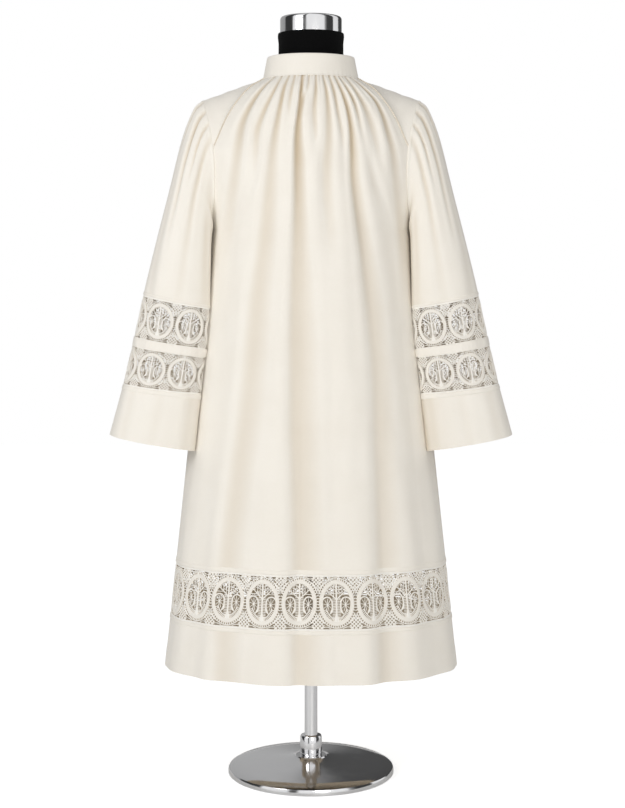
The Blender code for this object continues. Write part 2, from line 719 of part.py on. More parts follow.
def hem_band(material):
    """The plain band under the lace, one tube down to the hem."""
    around = np.linspace(-1, 1, 23)
    rows = np.array([LACE_BOTTOM - GAP / 2, (LACE_BOTTOM + HEM) / 2, HEM])[:, None]
    outer, inner = [], []
    for half, t in ((BACK, around), (FRONT, around[1:-1][::-1])):
        t, z = np.meshgrid(t, rows[:, 0])
        large = large_folds(half, t, z)
        outer.append(body_points(half, t, z, large))
        inner.append(body_points(half, t, z, large - WALL))
    outer, inner = np.concatenate(outer, axis=1), np.concatenate(inner, axis=1)
    rows_made, columns = outer.shape[:2]
    faces = grid_faces(rows_made, columns, closed=True)
    return wall("hem_band", outer.reshape(-1, 3), inner.reshape(-1, 3), faces, material)


def level_ring(turn, z, half_width, half_depth):
    return np.stack(
        [half_width * np.cos(turn), half_depth * np.sin(turn), np.full(turn.shape, z)], axis=-1
    )


def dress_form(material):
    """The covered torso and neck: rings that follow the cloth over the shoulders."""
    yokes = {}
    for side in (-1, 1):
        points, direction = yoke_grid(side)
        towards_seam = np.abs(np.linspace(-1, 1, points.shape[1]))[None, :, None] ** 4
        yokes[side] = points - direction * (WALL + YOKE_SEAT + SEAM_EASE * towards_seam)
    columns = np.array(CAPE_COLUMNS)
    cape = []
    for i, z in enumerate(GATHER_ROWS):
        heights = np.full(len(columns), z)
        under = {
            half: body_points(half, columns, heights, large_folds(half, columns, heights) - PANEL_CLEARANCE)
            for half in (BACK, FRONT)
        }
        cape.append(np.vstack([yokes[1][i][::-1], under[FRONT][::-1], yokes[-1][i], under[BACK]]))
    turn = np.arctan2(cape[-1][:, 1] / CHEST_HALF_DEPTH, cape[-1][:, 0] / CHEST_HALF_WIDTH)
    neck = [level_ring(turn, *ring) for ring in zip(*NECK_RINGS.values())]
    torso = [level_ring(turn, *ring) for ring in zip(*TORSO_RINGS.values())]
    rings = neck[::-1] + cape + torso
    count = len(turn)
    points = np.vstack([*rings, [[0.0, 0.0, rings[0][0, 2]]], [[0.0, 0.0, rings[-1][0, 2]]]])
    faces = grid_faces(len(rings), count, closed=True)
    top, foot = len(points) - 2, len(points) - 1
    last = (len(rings) - 1) * count
    for j in range(count):
        following = (j + 1) % count
        faces.append((top, following, j))
        faces.append((foot, last + j, last + following))
    return place("form_torso", points, faces, material)


def turned(name, profile, material):
    """A solid of revolution about the form's axis from (radius, height) points, foot first."""
    turn = np.arange(ROUND_SIDES) * 2 * math.pi / ROUND_SIDES
    rings = [level_ring(turn, z, radius, radius) for radius, z in profile]
    points = np.vstack(rings)
    faces = grid_faces(len(rings), ROUND_SIDES, closed=True)
    last = (len(rings) - 1) * ROUND_SIDES
    faces.append(tuple(range(ROUND_SIDES)))
    faces.append(tuple(last + j for j in range(ROUND_SIDES)))
    return place(name, points, faces, material)


def stand(chrome):
    rounding = [math.radians(angle) for angle in (0, 30, 60, 90)]
    rounded = [
        (CAP_RADIUS - CAP_ROUNDING * (1 - math.cos(a)), CAP_TOP - CAP_ROUNDING * (1 - math.sin(a)))
        for a in rounding
    ]
    turned("form_cap", [(CAP_RADIUS, CAP_FOOT), *rounded], chrome)
    pole_foot = BASE_PROFILE[-1][1] + GAP
    pole_top = TORSO_RINGS["z"][-1] - GAP
    turned("form_pole", [(POLE_RADIUS, pole_foot), (POLE_RADIUS, pole_top)], chrome)
    turned("form_base", BASE_PROFILE, chrome)


def build():
    clear_scene()
    cloth = finish("ivory_cloth", (0.82, 0.78, 0.71), 0.62, 0.0)
    lace = finish("ivory_lace", (0.80, 0.75, 0.67), 0.80, 0.0)
    black = finish("black_cover", (0.012, 0.012, 0.013), 0.75, 0.0)
    chrome = finish("chrome", (0.80, 0.80, 0.81), 0.12, 1.0)
    dress_form(black)
    stand(chrome)
    collar(cloth)
    for half in (BACK, FRONT):
        panel(half, cloth)
        body_lace(half, lace)
    hem_band(cloth)
    for side in (-1, 1):
        shoulder_yoke(side, cloth)
        sleeve(side, cloth)
        sleeve_band("sleeve_strip", side, STRIP_TOP_ROW, LOWER_LACE_TOP_ROW, 1, cloth)
        sleeve_band("cuff", side, CUFF_TOP_ROW, CUFF_EDGE_ROW, 2, cloth)
        for half in (BACK, FRONT):
            piping(side, half, cloth)
            sleeve_lace("upper", side, half, UPPER_LACE_TOP_ROW, STRIP_TOP_ROW, lace)
            sleeve_lace("lower", side, half, LOWER_LACE_TOP_ROW, CUFF_TOP_ROW, lace)


build()
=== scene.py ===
"""Looks of a surplice worn by a limbless dress form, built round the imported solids.

Metres, +Z up. The garment's back faces -Y and the wearer's left side is -X, as in the solids.
The sections follow the object as it is put together: stand, form, body, collar, sleeves, lace
and hem, and then the room that it stands in.
"""

import math

import bmesh
import bpy
import numpy as np
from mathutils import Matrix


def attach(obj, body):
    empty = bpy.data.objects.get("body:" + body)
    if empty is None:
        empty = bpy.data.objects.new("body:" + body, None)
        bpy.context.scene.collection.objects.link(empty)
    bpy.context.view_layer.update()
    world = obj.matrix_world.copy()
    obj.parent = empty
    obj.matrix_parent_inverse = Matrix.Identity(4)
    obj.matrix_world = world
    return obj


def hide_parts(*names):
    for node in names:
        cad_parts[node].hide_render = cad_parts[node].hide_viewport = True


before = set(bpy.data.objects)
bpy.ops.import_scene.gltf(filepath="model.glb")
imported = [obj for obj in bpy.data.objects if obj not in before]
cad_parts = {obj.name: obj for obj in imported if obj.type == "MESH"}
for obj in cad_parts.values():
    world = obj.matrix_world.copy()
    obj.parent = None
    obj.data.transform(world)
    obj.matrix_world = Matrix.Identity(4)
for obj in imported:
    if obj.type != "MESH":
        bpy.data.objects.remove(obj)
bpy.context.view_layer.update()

# The stand: a weighted round foot, a pole with its two sleeves and the cap that closes the neck.
# They are spun and turned from steel, and chromed.
SPUN_SIDES = 96
FOOT_PROFILE = (
    (0.0, 0.0), (0.1575, 0.0), (0.1600, 0.0025), (0.1600, 0.0090), (0.1585, 0.0122), (0.1540, 0.0148),
    (0.1300, 0.0176), (0.1000, 0.0208), (0.0700, 0.0242), (0.0520, 0.0268), (0.0360, 0.0296),
    (0.0305, 0.0318), (0.0290, 0.0340), (0.0, 0.0340),
)
POLE_PROFILE = (
    (0.0, 0.0340), (0.0205, 0.0340), (0.0210, 0.0360), (0.0210, 0.0700), (0.0195, 0.0730),
    (0.0128, 0.0740), (0.0125, 0.0760), (0.0125, 0.6230), (0.0128, 0.6240), (0.0190, 0.6250),
    (0.0200, 0.6270), (0.0200, 0.6680), (0.0190, 0.6700), (0.0125, 0.6710), (0.0125, 0.6900), (0.0, 0.6900),
)
CAP_PROFILE = (
    (0.0, 1.4112), (0.0566, 1.4112), (0.0576, 1.4119), (0.0576, 1.4362), (0.0574, 1.4382),
    (0.0567, 1.4400), (0.0554, 1.4414), (0.0536, 1.4422), (0.0500, 1.4425), (0.0, 1.4425),
)


def add_mesh(name, points, faces, material, uv=None, wrap=None, sharp=55, shade=None):
    """A smooth-shaded piece from points (n, 3) and quads or triangles (m, 4 or 3).

    uv holds one pair a point. On a tube, wrap is the pattern's length all round, and the faces
    that close the tube get it added where the pattern would otherwise run backwards. shade holds
    one number a point of painted shade, which the material reads as the attribute of that name.
    """
    mesh = bpy.data.meshes.new(name)
    mesh.from_pydata(points.tolist(), [], faces.tolist())
    mesh.polygons.foreach_set("use_smooth", np.ones(len(faces), bool))
    if uv is not None:
        corners = uv[faces]
        if wrap is not None:
            across = corners[..., 0].max(axis=1) - corners[..., 0].min(axis=1)
            low = (across > wrap / 2)[:, None] & (corners[..., 0] < wrap / 2)
            corners[..., 0] += wrap * low
        layer = mesh.uv_layers.new(name="cloth")
        layer.data.foreach_set("uv", corners.astype(np.float32).ravel())
    if shade is not None:
        layer = mesh.attributes.new("shade", "FLOAT", "POINT")
        layer.data.foreach_set("value", shade.astype(np.float32).ravel())
    mesh.set_sharp_from_angle(angle=math.radians(sharp))
    mesh.materials.append(material)
    piece = bpy.data.objects.new(name, mesh)
    bpy.context.scene.collection.objects.link(piece)
    return piece


def grid_quads(rows, columns, closed=False):
    """The quads between neighbouring points of a grid that is numbered row by row."""
    i, j = np.meshgrid(np.arange(rows - 1), np.arange(columns - (not closed)), indexing="ij")
    k = (j + 1) % columns
    quads = [i * columns + j, (i + 1) * columns + j, (i + 1) * columns + k, i * columns + k]
    return np.stack(quads, axis=-1).reshape(-1, 4)


def close_poles(piece):
    """Merges the points that lie on one spot at each pole."""
    shape = bmesh.new()
    shape.from_mesh(piece.data)
    bmesh.ops.remove_doubles(shape, verts=shape.verts, dist=1e-6)
    shape.to_mesh(piece.data)
    shape.free()


def spun(name, profile, material):
    """A profile of (radius, height) pairs turned about the form's axis, its two poles closed."""
    radius, height = np.array(profile).T
    turn = np.arange(SPUN_SIDES) * 2 * math.pi / SPUN_SIDES
    x, y = radius[:, None] * np.cos(turn), radius[:, None] * np.sin(turn)
    points = np.stack([x, y, height[:, None] + 0 * turn], axis=-1).reshape(-1, 3)
    faces = grid_quads(len(profile), SPUN_SIDES, closed=True)[:, ::-1]
    piece = add_mesh(name, points, faces, material, sharp=30)
    close_poles(piece)
    return piece


def new_material(name, colour, roughness, metallic=0.0):
    """A Principled material, with its nodes, links and shader."""
    material = bpy.data.materials.new(name)
    material.use_nodes = True
    nodes, links = material.node_tree.nodes, material.node_tree.links
    shader = nodes["Principled BSDF"]
    shader.inputs["Base Color"].default_value = (*colour, 1.0)
    shader.inputs["Roughness"].default_value = roughness
    shader.inputs["Metallic"].default_value = metallic
    return material, nodes, links, shader


def add_node(nodes, kind, **settings):
    """A node with its own settings and its sockets' values, which are given by name."""
    made = nodes.new(kind)
    for key, value in settings.items():
        if hasattr(made, key):
            setattr(made, key, value)
        else:
            made.inputs[key.replace("_", " ")].default_value = value
    return made


def chrome_finish():
    """Polished chrome: a faint haze of handling marks, and fine lines left by the turning."""
    material, nodes, links, shader = new_material("polished_chrome", (0.80, 0.80, 0.81), 0.12, 1.0)
    place = nodes.new("ShaderNodeTexCoord")
    haze = add_node(nodes, "ShaderNodeTexNoise", Scale=38.0, Detail=3.0)
    links.new(place.outputs["Object"], haze.inputs["Vector"])
    smear = add_node(nodes, "ShaderNodeMapRange", From_Min=0.35, From_Max=0.75, To_Min=0.07, To_Max=0.17)
    links.new(haze.outputs["Fac"], smear.inputs["Value"])
    links.new(smear.outputs["Result"], shader.inputs["Roughness"])
    squeeze = add_node(nodes, "ShaderNodeMapping", Scale=(6.0, 6.0, 900.0))
    links.new(place.outputs["Object"], squeeze.inputs["Vector"])
    lines = add_node(nodes, "ShaderNodeTexNoise", Scale=1.0, Detail=1.0)
    links.new(squeeze.outputs["Vector"], lines.inputs["Vector"])
    bump = add_node(nodes, "ShaderNodeBump", Strength=0.015, Distance=0.0002)
    links.new(lines.outputs["Fac"], bump.inputs["Height"])
    links.new(bump.outputs["Normal"], shader.inputs["Normal"])
    return material


chrome = chrome_finish()
for name, profile, solid in (
    ("stand_foot", FOOT_PROFILE, "form_base"),
    ("stand_pole", POLE_PROFILE, "form_pole"),
    ("neck_cap", CAP_PROFILE, "form_cap"),
):
    piece = spun(name, profile, chrome)
    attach(piece, "root")
    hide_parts(solid)

# The dress form: a padded torso and neck with no limbs, covered in black jersey that is sewn
# down the sides. It fills the garment's shoulders, so the garment's seams are laid out here.
BACK, FRONT = -1, 1
LEFT, RIGHT = -1, 1
NECK_SEAM, PIPING_END, UNDERARM = 1.327, 1.197, 1.044
LACE_TOP, LACE_BOTTOM, HEM = 0.415, 0.312, 0.215
SEAM_OPENING = 0.0003
NECK_HALF_WIDTH, NECK_HALF_DEPTH, YOKE_NECK_DEPTH = 0.0885, 0.080, 0.020
BODY_DEPTHS = {
    "z": (0.215, 0.312, 0.415, 0.619, 0.800, 0.974, 1.098, 1.197, 1.250, 1.282, 1.310, 1.327),
    BACK: (0.185, 0.172, 0.155, 0.150, 0.147, 0.146, 0.140, 0.126, 0.117, 0.108, 0.095, 0.080),
    FRONT: (0.178, 0.166, 0.152, 0.146, 0.142, 0.140, 0.134, 0.120, 0.111, 0.103, 0.092, 0.080),
}
SIDE_FLARE = 0.1110
PIPING = {
    "z": (1.197, 1.216, 1.250, 1.282, 1.310, 1.327),
    "x": (0.1788, 0.1704, 0.1554, 0.1350, 0.1100, 0.0857),
    "y": (0.0743, 0.0733, 0.0683, 0.0593, 0.0425, 0.0200),
}
ARMHOLE = {"top": (0.2000, 1.2880), "foot": (0.1890, 1.0440), "half_depth": 0.0775, "bow": 0.0180}
# Large folds of the body: where each ridge leaves the collar and reaches the hem, from -1 at the
# left side seam to 1 at the right one, with its half-width there and its depth at the hem
LARGE_FOLDS = {
    BACK: {
        "collar": (-0.66, -0.40, -0.14, 0.03, 0.20, 0.42, 0.66),
        "hem": (-0.74, -0.45, -0.17, 0.03, 0.23, 0.50, 0.77),
        "half_width": (0.15, 0.15, 0.13, 0.10, 0.14, 0.15, 0.14),
        "depth": (0.0060, 0.0080, 0.0100, 0.0040, 0.0090, 0.0075, 0.0055),
    },
    FRONT: {
        "collar": (-0.62, -0.36, -0.16, 0.12, 0.38, 0.64),
        "hem": (-0.72, -0.42, -0.15, 0.14, 0.46, 0.74),
        "half_width": (0.15, 0.15, 0.14, 0.14, 0.16, 0.15),
        "depth": (0.0060, 0.0085, 0.0080, 0.0090, 0.0075, 0.0060),
    },
}
FOLD_GROWTH = {"z": (0.215, 0.415, 0.800, 1.100, 1.250, 1.327), "share": (1.0, 0.75, 0.55, 0.45, 0.25, 0.0)}
NECK_RINGS = (
    (1.4112, 0.0612, 0.0612), (1.4090, 0.0619, 0.0619), (1.4050, 0.0622, 0.0622), (1.4000, 0.0616, 0.0616),
    (1.3930, 0.0608, 0.0608), (1.3750, 0.0609, 0.0609), (1.3560, 0.0615, 0.0615), (1.3500, 0.0632, 0.0625),
    (1.3440, 0.0670, 0.0640), (1.3390, 0.0716, 0.0663), (1.3340, 0.0765, 0.0690),
)
TORSO_RINGS = (
    (1.168, 0.170, 0.109), (1.100, 0.161, 0.116), (1.020, 0.141, 0.110), (0.940, 0.125, 0.100),
    (0.860, 0.138, 0.107), (0.780, 0.160, 0.118), (0.720, 0.161, 0.118), (0.702, 0.158, 0.115),
    (0.694, 0.152, 0.109), (0.690, 0.142, 0.099), (0.690, 0.060, 0.050), (0.690, 0.0, 0.0),
)
CHEST = (0.175, 0.115)
FORM_UNDER_YOKE, FORM_UNDER_PANEL, SEAM_EASE = 0.0026, 0.0100, 0.0015


def smooth(heights, values, z):
    """A smooth curve through the values of a table, by cubic steps between its heights."""
    heights, values = np.array(heights), np.array(values)
    slopes = np.gradient(values, heights)
    z = np.clip(z, heights[0], heights[-1])
    k = np.clip(np.searchsorted(heights, z) - 1, 0, len(heights) - 2)
    step = heights[k + 1] - heights[k]
    s = (z - heights[k]) / step
    return (
        (2 * s**3 - 3 * s**2 + 1) * values[k]
        + (s**3 - 2 * s**2 + s) * step * slopes[k]
        + (3 * s**2 - 2 * s**3) * values[k + 1]
        + (s**3 - s**2) * step * slopes[k + 1]
    )


def unit(vectors):
    """Vectors divided by their own length."""
    return vectors / np.linalg.norm(vectors, axis=-1, keepdims=True)


def armhole_turn(z):
    """The angle round the armhole's oval, from 0 at the shoulder tip to pi at the underarm."""
    top, foot = ARMHOLE["top"][1], ARMHOLE["foot"][1]
    return np.arccos(np.clip((2 * z - top - foot) / (top - foot), -1, 1))


def armhole_x(z):
    """How far out the armhole lies: between its two ends, less a bow that is largest half-way."""
    turn = armhole_turn(z)
    top, foot = ARMHOLE["top"][0], ARMHOLE["foot"][0]
    return (top + foot) / 2 + (top - foot) / 2 * np.cos(turn) - ARMHOLE["bow"] * np.sin(turn) ** 2


def armhole_height(turn):
    """The height of the armhole's oval at an angle."""
    top, foot = ARMHOLE["top"][1], ARMHOLE["foot"][1]
    return (top + foot) / 2 + (top - foot) / 2 * np.cos(turn)


def side_half_width(z):
    """Half the body's width under the arms, which grows evenly towards the hem."""
    return ARMHOLE["foot"][0] + SIDE_FLARE * (UNDERARM - np.minimum(z, UNDERARM))


def panel_edge(z):
    """Half-width and half-depth of a panel's edge: its piped seam, the armhole, the side seam."""
    below = np.where(z > UNDERARM, armhole_x(z), side_half_width(z))
    x = np.where(z >= PIPING_END, smooth(PIPING["z"], PIPING["x"], z), below)
    arm_y = np.maximum(ARMHOLE["half_depth"] * np.sin(armhole_turn(z)), SEAM_OPENING / 2)
    below = np.where(z > UNDERARM, arm_y, SEAM_OPENING / 2)
    return x, np.where(z >= PIPING_END, smooth(PIPING["z"], PIPING["y"], z), below)


def section(half, z):
    """Half-width, half-depth and half-angle of the elliptical arc that a panel follows at z."""
    x_edge, y_edge = panel_edge(z)
    depth = smooth(BODY_DEPTHS["z"], BODY_DEPTHS[half], z)
    angle = np.arccos(y_edge / depth)
    return x_edge / np.sin(angle), depth, angle


def fold_place(half, t, z):
    """Places from side to side on which folds hang straight, past the armhole's bend.

    Between the piping's end and the underarm the section's own width and angle are swapped for
    ones that change evenly.
    """
    width, _, angle = section(half, z)
    share = np.clip((z - UNDERARM) / (PIPING_END - UNDERARM), 0, 1)
    share = share**2 * (3 - 2 * share)
    end_width, _, end_angle = section(half, np.array(PIPING_END))
    edge = side_half_width(z) * (1 - share) + end_width * np.sin(end_angle) * share
    reach = math.pi / 2 + (end_angle - math.pi / 2) * share
    reach = np.where(z >= PIPING_END, angle, reach)
    edge = np.where(z >= PIPING_END, width * np.sin(angle), edge)
    return np.arcsin(np.clip(width * np.sin(t * angle) * np.sin(reach) / edge, -1, 1)) / reach


def large_folds(half, t, z):
    """Soft ridges, each a raised cosine on a shallow seat, growing towards the hem."""
    down = (NECK_SEAM - z) / (NECK_SEAM - HEM)
    place = fold_place(half, t, z)
    lift = np.zeros(np.shape(t * z))
    for collar, hem, half_width, depth in zip(*LARGE_FOLDS[half].values()):
        across = np.clip((place - collar - (hem - collar) * down) / half_width, -1, 1)
        lift += depth * ((1 + np.cos(math.pi * across)) / 2 - 0.35 * (1 - across**2))
    return lift * np.interp(z, FOLD_GROWTH["z"], FOLD_GROWTH["share"]) * (1 - np.abs(t) ** 6)


def body_frame(half, t, z):
    """The plain elliptical section and the level direction out of it, at places t and heights z."""
    width, depth, angle = section(half, z)
    s, c = np.sin(t * angle), half * np.cos(t * angle)
    plain = np.stack([width * s, depth * c, z + 0 * s], axis=-1)
    return plain, unit(np.stack([s / width, c / depth, 0 * s], axis=-1))


def yoke_surface(side, s, t):
    """The shoulder between its four seams: s from the neck to the armhole, t from front to back.

    It runs straight from neck to armhole, plus the bend of the two piped seams, which counts
    less and less towards the shoulder line.
    """
    z = NECK_SEAM - s * (NECK_SEAM - PIPING_END)
    last_turn = armhole_turn(PIPING_END)
    x_edge, y_edge = panel_edge(z)
    back_share = (1 + t) / 2

    def at_seams(x, y, height):
        seams = [np.stack([side * x, half * y, height], axis=-1) for half in (BACK, FRONT)]
        return seams[0] * back_share[..., None] + seams[1] * (1 - back_share[..., None])

    neck_turn = math.asin(YOKE_NECK_DEPTH / NECK_HALF_DEPTH) * t
    neck_x, neck_y = side * NECK_HALF_WIDTH * np.cos(neck_turn), -NECK_HALF_DEPTH * np.sin(neck_turn)
    neck = [neck_x, neck_y, NECK_SEAM + 0 * t]
    height = armhole_height(last_turn * t)
    arm = [side * armhole_x(height), -ARMHOLE["half_depth"] * np.sin(last_turn * t), height]
    straight = np.stack(neck, axis=-1) * (1 - s[..., None]) + np.stack(arm, axis=-1) * s[..., None]
    ends = []
    for end in (NECK_SEAM, PIPING_END):
        x, y = panel_edge(np.full(np.shape(z), end))
        ends.append(at_seams(x, y, np.full(np.shape(z), end)))
    corners = ends[0] * (1 - s[..., None]) + ends[1] * s[..., None]
    return straight + np.abs(t)[..., None] ** 1.8 * (at_seams(x_edge, y_edge, z) - corners)


def grid_normals(points, closed=False):
    """Unit normals of a grid, from the differences down its rows and across its columns."""
    down = np.gradient(points, axis=0)
    across = np.gradient(points, axis=1)
    if closed:
        across = (np.roll(points, -1, axis=1) - np.roll(points, 1, axis=1)) / 2
    return unit(np.cross(down, across))


def jersey_finish():
    """Black cotton jersey: fine ribs of knit and a little lint on its nap."""
    material, nodes, links, shader = new_material("black_jersey", (0.002, 0.002, 0.002), 0.85)
    shader.inputs["Sheen Weight"].default_value = 0.015
    shader.inputs["Sheen Roughness"].default_value = 0.40
    shader.inputs["Specular IOR Level"].default_value = 0.08
    uv = add_node(nodes, "ShaderNodeUVMap", uv_map="cloth")
    ribs = add_node(nodes, "ShaderNodeTexWave", Scale=230.0, Distortion=0.6, Detail=1.0)
    ribs.bands_direction = "X"
    links.new(uv.outputs["UV"], ribs.inputs["Vector"])
    lint = add_node(nodes, "ShaderNodeTexNoise", Scale=420.0, Detail=2.0)
    links.new(uv.outputs["UV"], lint.inputs["Vector"])
    shade = nodes.new("ShaderNodeValToRGB")
    shade.color_ramp.elements[0].position, shade.color_ramp.elements[1].position = 0.45, 0.80
    shade.color_ramp.elements[0].color = (0.0016, 0.0016, 0.0018, 1.0)
    shade.color_ramp.elements[1].color = (0.0040, 0.0040, 0.0042, 1.0)
    links.new(lint.outputs["Fac"], shade.inputs["Fac"])
    links.new(shade.outputs["Color"], shader.inputs["Base Color"])
    bump = add_node(nodes, "ShaderNodeBump", Strength=0.35, Distance=0.0004)
    links.new(ribs.outputs["Fac"], bump.inputs["Height"])
    links.new(bump.outputs["Normal"], shader.inputs["Normal"])
    return material


def form_cover():
    """Rings under the yokes and panels, offset inwards, between level rings of neck and torso."""
    s = np.linspace(0.0, 1.0, 28)
    over = np.linspace(-1.0, 1.0, 25)
    yokes = {}
    for side in (LEFT, RIGHT):
        grid_t, grid_s = np.meshgrid(over * side * -1, s)
        points = yoke_surface(side, grid_s, grid_t)
        ease = FORM_UNDER_YOKE + SEAM_EASE * np.abs(grid_t) ** 4
        yokes[side] = points - grid_normals(points) * ease[..., None]
    t, z = np.meshgrid(np.linspace(-0.94, 0.94, 33), NECK_SEAM - s * (NECK_SEAM - PIPING_END))
    under = {}
    for half in (BACK, FRONT):
        plain, out = body_frame(half, t, z)
        under[half] = plain + out * (large_folds(half, t, z) - FORM_UNDER_PANEL)[..., None]
    # Counter-clockwise from the right side's front: right yoke is crossed from front to back last
    cape = np.concatenate([under[BACK], yokes[RIGHT], under[FRONT][:, ::-1], yokes[LEFT]], axis=1)
    turn = np.arctan2(cape[-1, :, 1] / CHEST[1], cape[-1, :, 0] / CHEST[0])

    def level(rings):
        z, width, depth = np.array(rings).T[..., None]
        return np.stack([width * np.cos(turn), depth * np.sin(turn), z + 0 * turn], axis=-1)

    cap = level(((1.4112, 0.0, 0.0), (1.4112, 0.045, 0.045)))
    points = np.concatenate([cap, level(NECK_RINGS), cape, level(TORSO_RINGS)])
    rows, columns = points.shape[:2]
    lengths = np.linalg.norm(np.diff(points, axis=0), axis=-1).mean(axis=1)
    v = -np.concatenate([[0.0], np.cumsum(lengths)])
    around = 2 * math.pi * 0.14
    u = np.arange(columns) * around / columns
    uv = np.stack(np.meshgrid(u, v), axis=-1).reshape(-1, 2)
    faces = grid_quads(rows, columns, closed=True)
    piece = add_mesh("form_cover", points.reshape(-1, 3), faces, jersey_finish(), uv, around, sharp=40)
    close_poles(piece)
    return piece


cover = form_cover()
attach(cover, "root")
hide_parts("form_torso")

# The body: two panels of ivory cloth, each gathered into the collar. Small creases leave the
# gathers, and some of them run down to the hem between the large soft folds.
CLOTH_THICKNESS = 0.0011
# Painted shade given to the inner side of every cloth wall, so the inside reads darker and warmer
INNER_SHADE = 0.80
